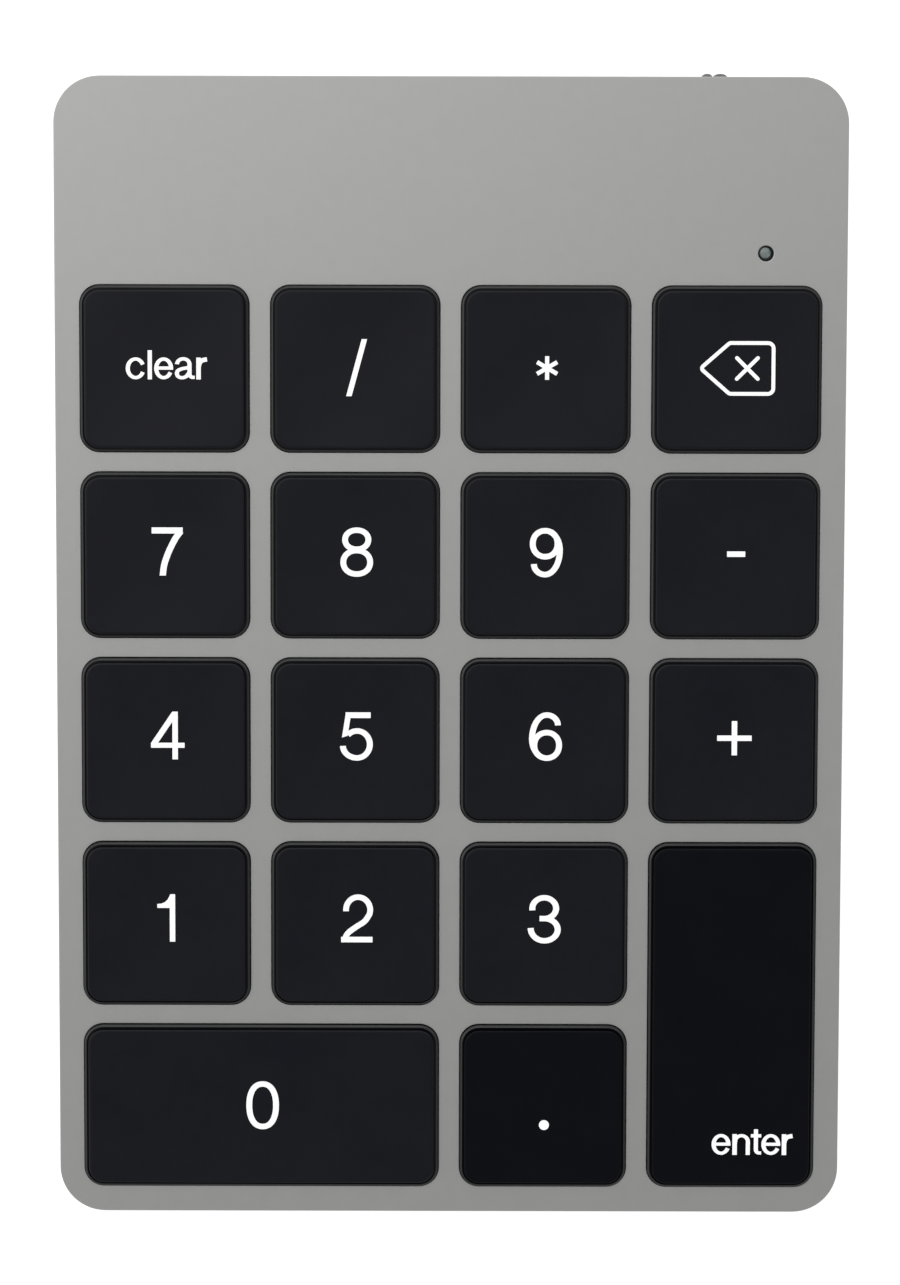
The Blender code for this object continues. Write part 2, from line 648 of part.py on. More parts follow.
def make_port():
    """Charging port: a drawn steel shell round a contact tongue."""
    turn = (-math.pi / 2, 0, 0)
    mouth = PLATE_LENGTH / 2 - PORT_RECESS
    shell = rounded(PORT_WIDTH, PORT_HEIGHT, PORT_HEIGHT * 0.49, steps=4)
    inner_height = PORT_HEIGHT - 2 * PORT_WALL
    bore = rounded(PORT_WIDTH - 2 * PORT_WALL, inner_height, inner_height * 0.49, steps=4)
    port = node("usb_port_shell", prism("usb_port_shell", [shell], -PORT_DEPTH, 0.0), "port_steel",
                (0.0, mouth, PORT_Z), turn)
    combine(port, "DIFFERENCE", tool(prism("port_bore", [bore], PORT_WALL - PORT_DEPTH, WALL),
                                     (0.0, mouth, PORT_Z), turn))
    root = mouth - PORT_DEPTH + PORT_WALL + 0.1 * MM
    base = 1.2 * MM
    tongue = node("usb_tongue", block("usb_tongue", TONGUE[0], base + TONGUE[1], -TONGUE[2] / 2,
                                      TONGUE[2] / 2, 0.0, (base + TONGUE[1]) / 2),
                  "black_plastic", (0.0, root, PORT_Z))
    block_width = PORT_WIDTH - PORT_HEIGHT
    heel = block("heel", block_width, base, -inner_height / 2 + 0.1 * MM,
                 inner_height / 2 - 0.1 * MM, 0.0, base / 2)
    combine(tongue, "UNION", tool(heel, (0.0, root, PORT_Z)))


def make_switch():
    """Slide switch on the board, and the ridged knob that shows through the rear wall."""
    width, length, height = SWITCH_BODY
    slot_x = KNOB_X - KNOB_TRAVEL / 2
    body = node("switch_body",
                block("switch_body", width, length, UNDER_BOARD - height, UNDER_BOARD, 0.0,
                      SWITCH_FRONT - length / 2),
                "black_plastic", (slot_x, 0.0, 0.0))
    stem_width, stem_length, stem_height = STEM_SLOT
    guide = block("guide", stem_width + KNOB_TRAVEL + 2 * SLOT_GAP, 2 * (stem_length + SLOT_GAP),
                  KNOB_Z - stem_height / 2 - SLOT_GAP, KNOB_Z + stem_height / 2 + SLOT_GAP,
                  slot_x, SWITCH_FRONT)
    combine(body, "DIFFERENCE", tool(guide))

    face = PLATE_LENGTH / 2 + KNOB_PROUD
    heel = SWITCH_FRONT + SLOT_GAP - face
    place = (KNOB_X, face, KNOB_Z)
    knob = node("switch_knob",
                block("switch_knob", KNOB_WIDTH, -heel, -KNOB_HEIGHT / 2, KNOB_HEIGHT / 2, 0.0,
                      heel / 2),
                "knob_plastic", place)
    groove = block("groove", KNOB_GROOVE[0], 2 * KNOB_GROOVE[1], -KNOB_HEIGHT, KNOB_HEIGHT)
    combine(knob, "DIFFERENCE", tool(groove, place))
    root = 0.4 * MM
    stem = block("switch_stem", stem_width, stem_length + root, -stem_height / 2,
                 stem_height / 2, 0.0, heel - (stem_length - root) / 2)
    combine(knob, "UNION", tool(stem, place))


def make_lamp():
    """Status lamp: a clear light pipe in the plate and the chip below it."""
    flange = -PLATE_THICKNESS - 0.05 * MM
    lens = node("lamp_lens", cone("lamp_lens", LAMP_RADIUS, LAMP_RADIUS, flange - 0.1 * MM,
                                  -0.05 * MM, sides=16), "lens_plastic", (LAMP_X, LAMP_Y, 0.0))
    rim = cone("lens_flange", LAMP_FLANGE_RADIUS, LAMP_FLANGE_RADIUS, flange - 0.25 * MM, flange,
               sides=16)
    combine(lens, "UNION", tool(rim, (LAMP_X, LAMP_Y, 0.0)))
    low = BOARD[0] + 0.05 * MM
    node("lamp_chip", block("lamp_chip", 1.6 * MM, 0.8 * MM, low, low + 0.55 * MM), "black_plastic",
         (LAMP_X, LAMP_Y, 0.0))


def make_connectors():
    """Radio shield, battery connector and membrane tail connector under the board."""
    for name, size, place, material in (
            ("radio_shield", RADIO_SHIELD, RADIO_PLACE, "port_steel"),
            ("battery_connector", BATTERY_PLUG, BATTERY_PLUG_PLACE, "connector_plastic")):
        width, length, height = size
        node(name, block(name, width, length, UNDER_BOARD - height, UNDER_BOARD), material,
             (*place, 0.0))
    width, length, height = TAIL_LATCH
    latch = node("tail_connector",
                 block("tail_connector", width, length, UNDER_BOARD - height, UNDER_BOARD, 0.0,
                       TAIL_LATCH_FRONT + length / 2), "black_plastic")
    throat_front = TAIL_LATCH_FRONT - MM
    throat_back = TAIL_END + TAIL_GRIP
    throat = block("throat", TAIL_WIDTH + 4 * TAIL_GRIP, throat_back - throat_front,
                   MEMBRANE[1] - TAIL_GRIP, MEMBRANE[0] + TAIL_GRIP, 0.0,
                   (throat_back + throat_front) / 2)
    combine(latch, "DIFFERENCE", tool(throat))


def make_battery():
    """Flat lithium cell lying on the cover."""
    width, length, height = BATTERY
    low = FOOT_HEIGHT + COVER_THICKNESS + 0.1 * MM
    outline = rounded(width, length, 1.2 * MM, steps=2)
    node("battery", prism("battery", [outline], 0.0, height, round_top=0.5 * MM), "battery_pouch",
         (0.0, BATTERY_Y, low), frame=None)


make_top_case()
make_bottom_cover()
make_feet()
make_screws()
make_keys()
make_stabiliser("stabiliser_0", "0", WIRE_OFFSET_0, 0.0)
make_stabiliser("stabiliser_enter", "enter", WIRE_OFFSET_ENTER, -math.pi / 2)
make_layers()
make_board()
make_port()
make_switch()
make_lamp()
make_connectors()
make_battery()
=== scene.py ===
"""Looks of the numeric keypad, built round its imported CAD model.

Shapes are laid out in millimetres in the deck frame: X runs to the right, Y up the
slope towards the back, Z square to the plate, with height 0 on the plate's top face
and the origin at the plate's middle. Cover, feet, screws and their posts are in world axes.
"""

import json
import math
from functools import partial

import bmesh
import bpy
from mathutils import Matrix, Vector
from mathutils.geometry import delaunay_2d_cdt


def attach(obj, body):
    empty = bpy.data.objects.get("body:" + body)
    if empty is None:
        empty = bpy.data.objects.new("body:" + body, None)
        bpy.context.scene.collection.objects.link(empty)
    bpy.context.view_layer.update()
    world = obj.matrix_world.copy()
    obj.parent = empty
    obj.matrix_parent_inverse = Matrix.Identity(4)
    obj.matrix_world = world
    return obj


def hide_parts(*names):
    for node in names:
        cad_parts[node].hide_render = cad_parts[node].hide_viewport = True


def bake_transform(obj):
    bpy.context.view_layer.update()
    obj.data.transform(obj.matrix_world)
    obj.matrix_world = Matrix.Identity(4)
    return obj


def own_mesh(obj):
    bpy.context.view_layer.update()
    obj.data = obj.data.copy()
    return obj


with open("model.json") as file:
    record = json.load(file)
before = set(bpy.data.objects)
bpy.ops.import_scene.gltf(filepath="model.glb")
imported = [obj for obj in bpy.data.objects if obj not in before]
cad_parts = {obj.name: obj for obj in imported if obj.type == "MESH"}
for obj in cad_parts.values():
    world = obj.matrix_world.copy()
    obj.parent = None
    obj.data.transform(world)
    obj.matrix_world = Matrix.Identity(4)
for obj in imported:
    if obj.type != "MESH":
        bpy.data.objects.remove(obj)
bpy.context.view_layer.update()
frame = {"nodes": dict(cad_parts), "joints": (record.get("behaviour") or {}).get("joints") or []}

MM = 0.001
NODES = frame["nodes"]
UP = Vector((0, 0, 1))

# ---- frames

PRESS_AXIS = Vector(next(joint["axis"] for joint in frame["joints"] if joint["name"] == "press_5"))
SLOPE = math.atan2(PRESS_AXIS.y, -PRESS_AXIS.z)


def extent(node, into_frame):
    """Lowest and highest corners of a CAD node along the axes of a frame."""
    points = [into_frame @ vertex.co for vertex in NODES[node].data.vertices]
    return [Vector([pick(point[axis] for point in points) for axis in range(3)]) for pick in (min, max)]


def deck_frame():
    """Matrix from deck millimetres to world metres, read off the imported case."""
    turn = Matrix.Rotation(SLOPE, 4, "X")
    low, high = extent("top_case", turn.inverted())
    middle = (low + high) / 2
    origin = turn @ Vector((middle.x, middle.y, high.z))
    return Matrix.Translation(origin) @ turn @ Matrix.Scale(MM, 4)


WORLD = Matrix.Scale(MM, 4)
DECK = deck_frame()
ON_DECK = DECK.inverted()
IN_WORLD = WORLD.inverted()
ON_WORLD = IN_WORLD @ DECK

# ---- sizes

PLATE_LOW, PLATE_HIGH = extent("top_case", ON_DECK)
CASE_BACK = PLATE_HIGH.y
PLATE_WIDTH = PLATE_HIGH.x - PLATE_LOW.x
PLATE_LENGTH = PLATE_HIGH.y - PLATE_LOW.y
PLATE_CORNER = 4.6
PLATE_THICKNESS = 1.0
PLATE_ROUND = 0.06
WALL = 1.2
WELL_GAP = 0.15
WELL_CORNER = 2.0
WELL_ROUND = 0.03

CAP_TOP = 0.9
CAP_BOTTOM = -1.2
CAP_WALL = 0.95
CAP_CEILING = -0.1
CAP_DISH = 0.15
CAP_SIDE = (  # inset from the well's edge, height
    (0.24, -1.20), (0.11, -1.08), (0.08, -0.95), (0.08, 0.26), (0.085, 0.31), (0.11, 0.35),
    (0.29, 0.435), (0.305, 0.435), (0.31, 0.415), (0.315, -0.10), (0.525, -0.10), (0.53, 0.42),
    (0.53, 0.78), (0.535, 0.83), (0.555, 0.865), (0.58, 0.888), (0.62, 0.90))
SKIRT_RINGS = range(3, 8)
FACE_INSET = 0.62
CAP_PARTS = 10
FACE_RINGS = (0.985, 0.96, 0.9, 0.8, 0.68, 0.54, 0.4, 0.26, 0.12, 0.03)

LEGEND_RAISE = 0.012
LEGEND_SINK = 0.03
UPRIGHT = 0.61  # width of a legend's stroke where it runs up, and where it runs level
LEVEL = 0.56
WORD_UPRIGHT = 0.42
WORD_LEVEL = 0.345
TAG_STROKE = 0.38

COVER_LOW, COVER_HIGH = extent("bottom_cover", IN_WORLD)
COVER_THICKNESS = 0.9
COVER_TOP = COVER_LOW.z + COVER_THICKNESS
SCREW_NAMES = [name for name in NODES if name.startswith("cover_screw_")]


def middle_of(node, into_frame):
    """Middle of a CAD node's extent along the axes of a frame."""
    low, high = extent(node, into_frame)
    return (low + high) / 2


SCREWS = [tuple(middle_of(name, IN_WORLD).xy) for name in SCREW_NAMES]
SCREW_HEAD = 1.5
SCREW_SHANK = 0.7

RAIL_WIDTH = 0.6
RAIL_LENGTH = 3.4
RAIL_FOOT = -0.8
HOOK_X = 6.3
DOME_BASE = -2.75
DOME_FOOT = DOME_BASE - 0.1
LEVER_WIDTH = 11.4
LEVER_REACH = 9.0
LEVER_RISE = 2.0
LEVER_BAR = 1.1
LEVER_THICKNESS = 0.55
LEVER_PIVOT_HEIGHT = -2.4
PIN_RADIUS = 0.24
PIN_ROOT = 5.5
PIN_TIP = 6.03
INNER_WIDTH = 8.6
INNER_LENGTH = 6.9
INNER_HEIGHT = -1.52
INNER_TILT = math.asin(1.7 / 6.6)
WIRE_RADIUS = 0.3
WIRE_HALF_SPAN = 13.0
WIRE_ARM = 6.0
WIRE_DROP = 1.8
WIRE_BEND = 0.9

KEY_NAMES = [name.removeprefix("key_") for name in NODES if name.startswith("key_")]

# ---- outlines


def between(start, end, parts):
    """Points that split a line into equal parts, without its ends."""
    return [tuple(a + (b - a) * part / parts for a, b in zip(start, end)) for part in range(1, parts)]


def rounded(width, length, radius, x=0.0, y=0.0, steps=8, side=1):
    """Outline of a rounded rectangle about (x, y), each straight side cut in so many parts."""
    outline = []
    for quarter, (side_x, side_y) in enumerate(((1, 1), (-1, 1), (-1, -1), (1, -1))):
        centre_x = x + side_x * (width / 2 - radius)
        centre_y = y + side_y * (length / 2 - radius)
        turns = [math.radians(90) * (quarter + step / steps) for step in range(steps + 1)]
        corner = [(centre_x + radius * math.cos(turn), centre_y + radius * math.sin(turn))
                  for turn in turns]
        if outline:
            outline += between(outline[-1], corner[0], side)
        outline += corner
    return outline + between(outline[-1], outline[0], side)


def circle(radius, x=0.0, y=0.0, sides=32):
    """Outline of a circle about (x, y)."""
    turns = [math.tau * side / sides for side in range(sides)]
    return [(x + radius * math.cos(turn), y + radius * math.sin(turn)) for turn in turns]


def at_height(outline, height):
    """An outline lifted to a height, or to a height for each point."""
    level = height if callable(height) else lambda x, y: height
    return [Vector((x, y, level(x, y))) for x, y in outline]


# ---- meshes


def loft(shape, rings, first="open", last="open"):
    """Skin through rings of points; each end is open, flat or drawn to its middle."""
    rows = [[shape.verts.new(point) for point in ring] for ring in rings]
    for low, high in zip(rows, rows[1:]):
        for side in range(len(low)):
            after = (side + 1) % len(low)
            shape.faces.new((low[side], low[after], high[after], high[side]))
    for row, end in ((rows[0], first), (rows[-1], last)):
        if end == "flat":
            shape.faces.new(row)
        elif end == "fan":
            tip = shape.verts.new(sum((vert.co for vert in row), Vector()) / len(row))
            for side in range(len(row)):
                shape.faces.new((row[side], row[(side + 1) % len(row)], tip))
    return rows


def solid(rings):
    """A closed shape through rings of points, flat at both ends."""
    shape = bmesh.new()
    loft(shape, rings, "flat", "flat")
    return shape


def hoop(rings):
    """A closed shape through rings of points, back to the first of them."""
    shape = bmesh.new()
    loft(shape, [*rings, rings[0]])
    bmesh.ops.remove_doubles(shape, verts=shape.verts, dist=1e-5)
    return shape


def inside(loop, x, y):
    """Whether a point lies within a loop of vertices."""
    crossings = 0
    for start, end in zip(loop, [*loop[1:], loop[0]]):
        if (start.co.y > y) != (end.co.y > y):
            share = (y - start.co.y) / (end.co.y - start.co.y)
            crossings += start.co.x + share * (end.co.x - start.co.x) > x
    return crossings % 2 == 1


def fill(shape, loops):
    """Flat face between an outer loop of vertices and the holes in it."""
    verts = [vert for loop in loops for vert in loop]
    edges = []
    for loop in loops:
        start = len(edges)
        edges += [(start + side, start + (side + 1) % len(loop)) for side in range(len(loop))]
    result = delaunay_2d_cdt([vert.co.xy for vert in verts], edges, [], 0, 1e-6)
    sources = result[3]
    for corners in result[2]:
        found = [verts[sources[corner][0]] for corner in corners]
        x, y = (sum(vert.co[axis] for vert in found) / len(found) for axis in (0, 1))
        if inside(loops[0], x, y) and not any(inside(loop, x, y) for loop in loops[1:]):
            shape.faces.new(found)


def pierced(lofts):
    """A plate from lofts, the outer one first, joined by a flat face at each of their ends."""
    shape = bmesh.new()
    rows = [loft(shape, rings) for rings in lofts]
    for end in (0, -1):
        fill(shape, [found[end] for found in rows])
    return shape


def block(width, length, low, high, x=0.0, y=0.0, round_off=0.08, radius=0.0, steps=3):
    """A box with softened edges, from low to high about (x, y)."""
    corner = max(radius, 1.6 * round_off)
    rings = []
    for turn in range(4):
        angle = math.radians(30 * turn)
        inset = round_off * (1 - math.sin(angle))
        rings.append(at_height(
            rounded(width - 2 * inset, length - 2 * inset, corner - inset, x, y, steps),
            low + round_off * (1 - math.cos(angle))))
    rings += [[Vector((point.x, point.y, low + high - point.z)) for point in ring]
              for ring in reversed(rings)]
    return solid(rings)


def turned(profile, x=0.0, y=0.0, sides=32):
    """A solid of revolution about an upright axis through (x, y), from (radius, height) pairs."""
    return solid([at_height(circle(radius, x, y, sides), height) for radius, height in profile])


def mesh_of(shape, name="scratch"):
    """A mesh from a shape, which is used up."""
    mesh = bpy.data.meshes.new(name)
    bmesh.ops.recalc_face_normals(shape, faces=shape.faces)
    shape.to_mesh(mesh)
    shape.free()
    return mesh


def place_object(name, data):
    """A new object in the scene."""
    made = bpy.data.objects.new(name, data)
    bpy.context.scene.collection.objects.link(made)
    return made


def together(*shapes):
    """Several shapes as one, still touching only where they did."""
    whole = bmesh.new()
    for shape in shapes:
        part = mesh_of(shape)
        whole.from_mesh(part)
        bpy.data.meshes.remove(part)
    return whole


def carved(shape, *cutters):
    """A shape after other shapes are cut out of it by exact booleans."""
    target, *others = [place_object("scratch", mesh_of(used)) for used in (shape, *cutters)]
    for other in others:
        cut = target.modifiers.new("cut", "BOOLEAN")
        cut.operation = "DIFFERENCE"
        cut.solver = "EXACT"
        cut.object = other
    bpy.context.view_layer.update()
    seen = target.evaluated_get(bpy.context.evaluated_depsgraph_get())
    result = bmesh.new()
    result.from_mesh(seen.to_mesh())
    seen.to_mesh_clear()
    for used in (target, *others):
        bpy.data.meshes.remove(used.data)
    return result


def piece(name, shape, material, body, stands_for=(), place=DECK, angle=35, second=None):
    """A finished piece that rides on a body and may stand for CAD nodes.

    Faces whose material_index is 1 take the second material.
    """
    bmesh.ops.transform(shape, matrix=place, verts=shape.verts)
    mesh = mesh_of(shape, name)
    mesh.materials.append(material)
    if second:
        mesh.materials.append(second)
    mesh.shade_smooth()
    mesh.set_sharp_from_angle(angle=math.radians(angle))
    made = place_object(name, mesh)
    if body:
        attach(made, body)
    if stands_for:
        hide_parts(*stands_for)
    return made


# ---- materials


def add_node(tree, kind, inputs, **settings):
    """A new shader node; each input is given a value or another node's output."""
    made = tree.nodes.new("ShaderNode" + kind)
    for name, value in settings.items():
        setattr(made, name, value)
    for socket, value in inputs.items():
        if isinstance(value, bpy.types.NodeSocket):
            tree.links.new(value, made.inputs[socket])
        else:
            made.inputs[socket].default_value = value
    return made


def surface(name, colour, roughness, metallic=0.0, specular=0.5, grain=(), mottle=(), rough_mottle=(),
            stretch=(1, 1, 1), **extra):
    """A material with a fine grain as bump, and slow changes of colour and roughness.

    grain is size and height in millimetres, mottle is size in millimetres and share of
    the colour, rough_mottle is size and change of roughness.
    """
    made = bpy.data.materials.new(name)
    made.use_nodes = True
    tree = made.node_tree
    shader = tree.nodes["Principled BSDF"]
    given = {"Base Color": (*colour, 1), "Roughness": roughness, "Metallic": metallic,
             "Specular IOR Level": specular}
    given.update((socket.replace("_", " "), value) for socket, value in extra.items())
    for socket, value in given.items():
        shader.inputs[socket].default_value = value
    place = add_node(tree, "TexCoord", {}).outputs["Object"]
    scaled = add_node(tree, "Mapping", {"Vector": place, "Scale": stretch}).outputs["Vector"]

    def noise(size, detail):
        return add_node(tree, "TexNoise", {"Vector": scaled, "Scale": 1 / (size * MM),
                                           "Detail": detail}).outputs["Fac"]

    def spread(size, detail, middle, change):
        return add_node(tree, "MapRange", {
            "Value": noise(size, detail), "From Min": 0.3, "From Max": 0.7,
            "To Min": middle - change, "To Max": middle + change}).outputs["Result"]

    if mottle:
        size, share = mottle
        tint = add_node(tree, "VectorMath", {0: colour, "Scale": spread(size, 3, 1, share)},
                        operation="SCALE")
        tree.links.new(tint.outputs["Vector"], shader.inputs["Base Color"])
    if rough_mottle:
        size, change = rough_mottle
        tree.links.new(spread(size, 2, roughness, change), shader.inputs["Roughness"])
    if grain:
        size, height = grain
        bump = add_node(tree, "Bump", {"Strength": 1.0, "Distance": height * MM,
                                       "Height": noise(size, 2)})
        tree.links.new(bump.outputs["Normal"], shader.inputs["Normal"])
    return made


ALUMINIUM = surface("anodised_aluminium", (0.545, 0.545, 0.535), 0.42, 1.0, grain=(0.16, 0.0022),
                    mottle=(1.2, 0.010), rough_mottle=(3, 0.01))
MOULDED = {"grain": (0.11, 0.0012), "mottle": (1.1, 0.12), "rough_mottle": (5, 0.03)}
CAP = surface("keycap_plastic", (0.0016, 0.0021, 0.0064), 0.30, specular=0.30, **MOULDED)
# A darker, less glossy copy of the same key plastic for the enter and point keys: painted shade that stands
# in for the duller light those lower-right keys catch.
CAP_PAINTED_SHADE = surface("keycap_plastic_deep", (0.0014, 0.0017, 0.0042), 0.30, specular=0.14, **MOULDED)
PAINTED_SHADE_KEYS = ("enter", "point")
# The flange round each cap is the same plastic as the face, given a lighter colour and a stronger specular:
# painted sheen that makes the flange band look lit.
SKIRT_PAINTED_SHEEN = surface("keycap_skirt", (0.0055, 0.0064, 0.0078), 0.34, specular=0.62, **MOULDED)
# Legend ink: plain white print, plus an emission that is a painted glow making the legends brighter, though
# nothing lights them from behind.
INK_PAINTED_GLOW = surface("legend_ink", (0.86, 0.86, 0.86), 0.5, grain=(0.08, 0.0010), mottle=(0.6, 0.01),
              Emission_Color=(1, 1, 1, 1), Emission_Strength=0.40)
COVER = surface("cover_plastic", (0.040, 0.041, 0.043), 0.52, grain=(0.35, 0.010),
                mottle=(0.7, 0.10), rough_mottle=(6, 0.04))
RUBBER = surface("foot_rubber", (0.020, 0.020, 0.020), 0.78, grain=(0.22, 0.006), mottle=(0.5, 0.2))
LEVER = surface("lever_plastic", (0.62, 0.62, 0.60), 0.42, grain=(0.3, 0.004), mottle=(1.5, 0.04))
WIRE = surface("spring_steel", (0.55, 0.55, 0.54), 0.26, 1.0, grain=(0.25, 0.0015),
               rough_mottle=(0.9, 0.06), stretch=(0.15, 1, 1))
SHEET = surface("backplate_steel", (0.48, 0.48, 0.49), 0.34, 1.0, grain=(0.5, 0.002),
                mottle=(4, 0.05), rough_mottle=(1.5, 0.06), stretch=(0.2, 1, 1))
SILICONE = surface("silicone", (0.72, 0.74, 0.74), 0.48, grain=(0.4, 0.004), mottle=(3, 0.03),
                   Subsurface_Weight=0.15)
FILM = surface("membrane_film", (0.42, 0.45, 0.40), 0.32, grain=(1.2, 0.003), mottle=(1.0, 0.08))
BOARD = surface("board_laminate", (0.010, 0.070, 0.035), 0.38, grain=(0.6, 0.006), mottle=(0.6, 0.22))
POUCH = surface("battery_pouch", (0.60, 0.61, 0.63), 0.30, 1.0, grain=(1.6, 0.02),
                mottle=(5, 0.04), rough_mottle=(2, 0.08))
SHIELD = surface("port_steel", (0.50, 0.50, 0.51), 0.24, 1.0, grain=(0.3, 0.0012),
                 rough_mottle=(0.8, 0.06), stretch=(1, 0.2, 1))
BLACK = surface("black_plastic", (0.015, 0.015, 0.016), 0.42, grain=(0.15, 0.002), mottle=(0.8, 0.15))
LENS = surface("lens_plastic", (0.20, 0.235, 0.235), 0.16, mottle=(0.4, 0.4), Coat_Weight=0.6)
SLEEVE = surface("lamp_sleeve", (0.014, 0.022, 0.026), 0.35, mottle=(0.5, 0.3))
KNOB = surface("knob_plastic", (0.22, 0.22, 0.215), 0.38, grain=(0.12, 0.002), mottle=(0.5, 0.04))
SCREW = surface("screw_steel", (0.10, 0.10, 0.11), 0.33, 1.0, grain=(0.2, 0.002), mottle=(0.5, 0.1))
GOLD = surface("contact_gold", (0.85, 0.62, 0.28), 0.25, 1.0, grain=(0.2, 0.001), mottle=(0.5, 0.05))
FLOOR = surface("floor", (0.92, 0.92, 0.92), 0.8, specular=0.1, mottle=(40, 0.004),
                Emission_Color=(1, 1, 1, 1), Emission_Strength=0.60)
FINISHES = {made.name.split(".")[0]: made for made in (
    ALUMINIUM, CAP, COVER, RUBBER, LEVER, WIRE, SHEET, SILICONE, FILM, BOARD, POUCH, SHIELD, BLACK,
    LENS, KNOB, SCREW)}
FINISHES["connector_plastic"] = LEVER

# ---- case


def wells():
    """Middle, width and length of the opening round each key."""
    found = {}
    for name in KEY_NAMES:
        low, high = extent("key_" + name, ON_DECK)
        found[name] = ((low.x + high.x) / 2, (low.y + high.y) / 2, high.x - low.x + 2 * WELL_GAP,
                       high.y - low.y + 2 * WELL_GAP)
    return found


WELLS = wells()
LAMP_LOW, LAMP_HIGH = extent("lamp_lens", ON_DECK)
LAMP = (LAMP_LOW + LAMP_HIGH) / 2
LAMP_RADIUS = 0.76
LAMP_ROUND = 0.08
LAMP_LEAN = Vector((-0.06, 0.05, 0))


def rim(count=4):
    """Fractions (out, down) of a quarter round, from the flat top to the upright side."""
    turns = [math.radians(90) * step / count for step in range(count + 1)]
    return [(math.sin(turn), 1 - math.cos(turn)) for turn in turns]


def well_outline(x, y, width, length, offset):
    """A well's outline, widened by an offset."""
    return rounded(width + 2 * offset, length + 2 * offset, WELL_CORNER + offset, x, y, steps=10)


def make_case():
    """Plate with rounded wells, and walls down to the cover."""
    foot = extent("top_case", IN_WORLD)[0].z
    rise = ON_WORLD.col[3].z

    def at_foot(lift):
        return lambda x, y: (foot + lift - rise - y * math.sin(SLOPE)) / math.cos(SLOPE)

    def outer(offset):
        return rounded(PLATE_WIDTH + 2 * offset, PLATE_LENGTH + 2 * offset, PLATE_CORNER + offset,
                       steps=14)

    support = 0.06
    rings = [at_height(outer(-PLATE_ROUND - support), 0.0)]
    rings += [at_height(outer(PLATE_ROUND * (out - 1)), -PLATE_ROUND * down) for out, down in rim(6)]
    rings.append(at_height(outer(0.0), -PLATE_ROUND - support))
    rings += [at_height(outer(offset), at_foot(lift)) for offset, lift in (
        (0.0, 0.3), (0.0, 0.2), (-0.06, 0.06), (-0.2, 0.0), (0.12 - WALL, 0.0), (-WALL, 0.12))]
    lofts = [[*rings, at_height(outer(-WALL), -PLATE_THICKNESS)]]
    openings = [(partial(well_outline, *well), WELL_ROUND) for well in WELLS.values()]
    openings.append((lambda offset: circle(LAMP_RADIUS + 0.02 + offset, LAMP.x, LAMP.y, 40), LAMP_ROUND))
    for inner, soft in openings:
        lofts.append([at_height(inner(soft + support), 0.0),
                      *(at_height(inner(soft * (1 - out)), -soft * down) for out, down in rim()),
                      at_height(inner(0.0), 0.05 - PLATE_THICKNESS),
                      at_height(inner(0.05), -PLATE_THICKNESS)])
    return pierced(lofts)


def upright(width, height, corner, y, x, z, steps=8):
    """A rounded rectangle about (x, z), stood up square to the slope, y towards the back."""
    return [Vector((x + across, y, z + up))
            for across, up in rounded(width, height, corner, steps=steps)]


def opening(width, height, corner, x, z):
    """A cutter through the rear wall, flared a little at the outside."""
    return solid([upright(width + 2 * wider, height + 2 * wider, corner + wider, CASE_BACK + y, x, z)
                  for wider, y in ((0.0, -2.4), (0.0, -0.1), (0.03, -0.03), (0.1, 0.0), (0.6, 0.5))])


def plate_level(world_y, height):
    """World height, at a world Y, of a level of the deck."""
    start, end = (ON_WORLD @ Vector((0, y, height)) for y in (0, 1))
    return start.z + (world_y - start.y) * (end.z - start.z) / (end.y - start.y)


def make_bosses():
    """Four screw posts from the cover up to the plate."""
    posts = []
    for x, y in SCREWS:
        top = plate_level(y, -PLATE_THICKNESS / 2)
        foot = COVER_TOP + 0.1
        rings = [circle(radius, x, y) for radius in (0.8, 0.8, 0.95, 1.65, 1.75, 1.75)]
        heights = (min(foot + 3.6, top - WALL), foot + 0.1, foot, foot, foot + 0.1, top)
        posts.append(solid([at_height(ring, height) for ring, height in zip(rings, heights)]))
    return together(*posts)


PORT_LOW, PORT_HIGH = extent("usb_port_shell", ON_DECK)
PORT_MIDDLE = (PORT_LOW + PORT_HIGH) / 2
PORT_SIZE = PORT_HIGH - PORT_LOW
PORT_GAP = 0.18
KNOB_LOW, KNOB_HIGH = extent("switch_knob", ON_DECK)
KNOB_MIDDLE = (KNOB_LOW + KNOB_HIGH) / 2
KNOB_SIZE = KNOB_HIGH - KNOB_LOW
KNOB_TRAVEL = 2.0
SLOT_GAP = 0.15


def make_case_with_openings():
    """The case, cut for the port and the switch."""
    height = PORT_SIZE.z + 2 * PORT_GAP
    port = opening(PORT_SIZE.x + 2 * PORT_GAP, height, height * 0.49, PORT_MIDDLE.x, PORT_MIDDLE.z)
    slot = opening(KNOB_SIZE.x + KNOB_TRAVEL + 2 * SLOT_GAP, KNOB_SIZE.z + 2 * SLOT_GAP, 0.35,
                   KNOB_MIDDLE.x - KNOB_TRAVEL / 2, KNOB_MIDDLE.z)
    return carved(make_case(), port, slot)


piece("case_shell", make_case_with_openings(), ALUMINIUM, "case", ["top_case"],
      angle=20)
piece("case_posts", make_bosses(), ALUMINIUM, "case", place=WORLD)

# ---- keycaps


def dish(name):
    """Height of a key's top at a point of the deck."""
    x, y, width, length = WELLS[name]
    half_x, half_y = width / 2 - FACE_INSET, length / 2 - FACE_INSET

    def height(point_x, point_y):
        across = 1 - ((point_x - x) / half_x) ** 2
        along = 1 - ((point_y - y) / half_y) ** 2
        return CAP_TOP - CAP_DISH * max(across, 0) * max(along, 0)
    return height


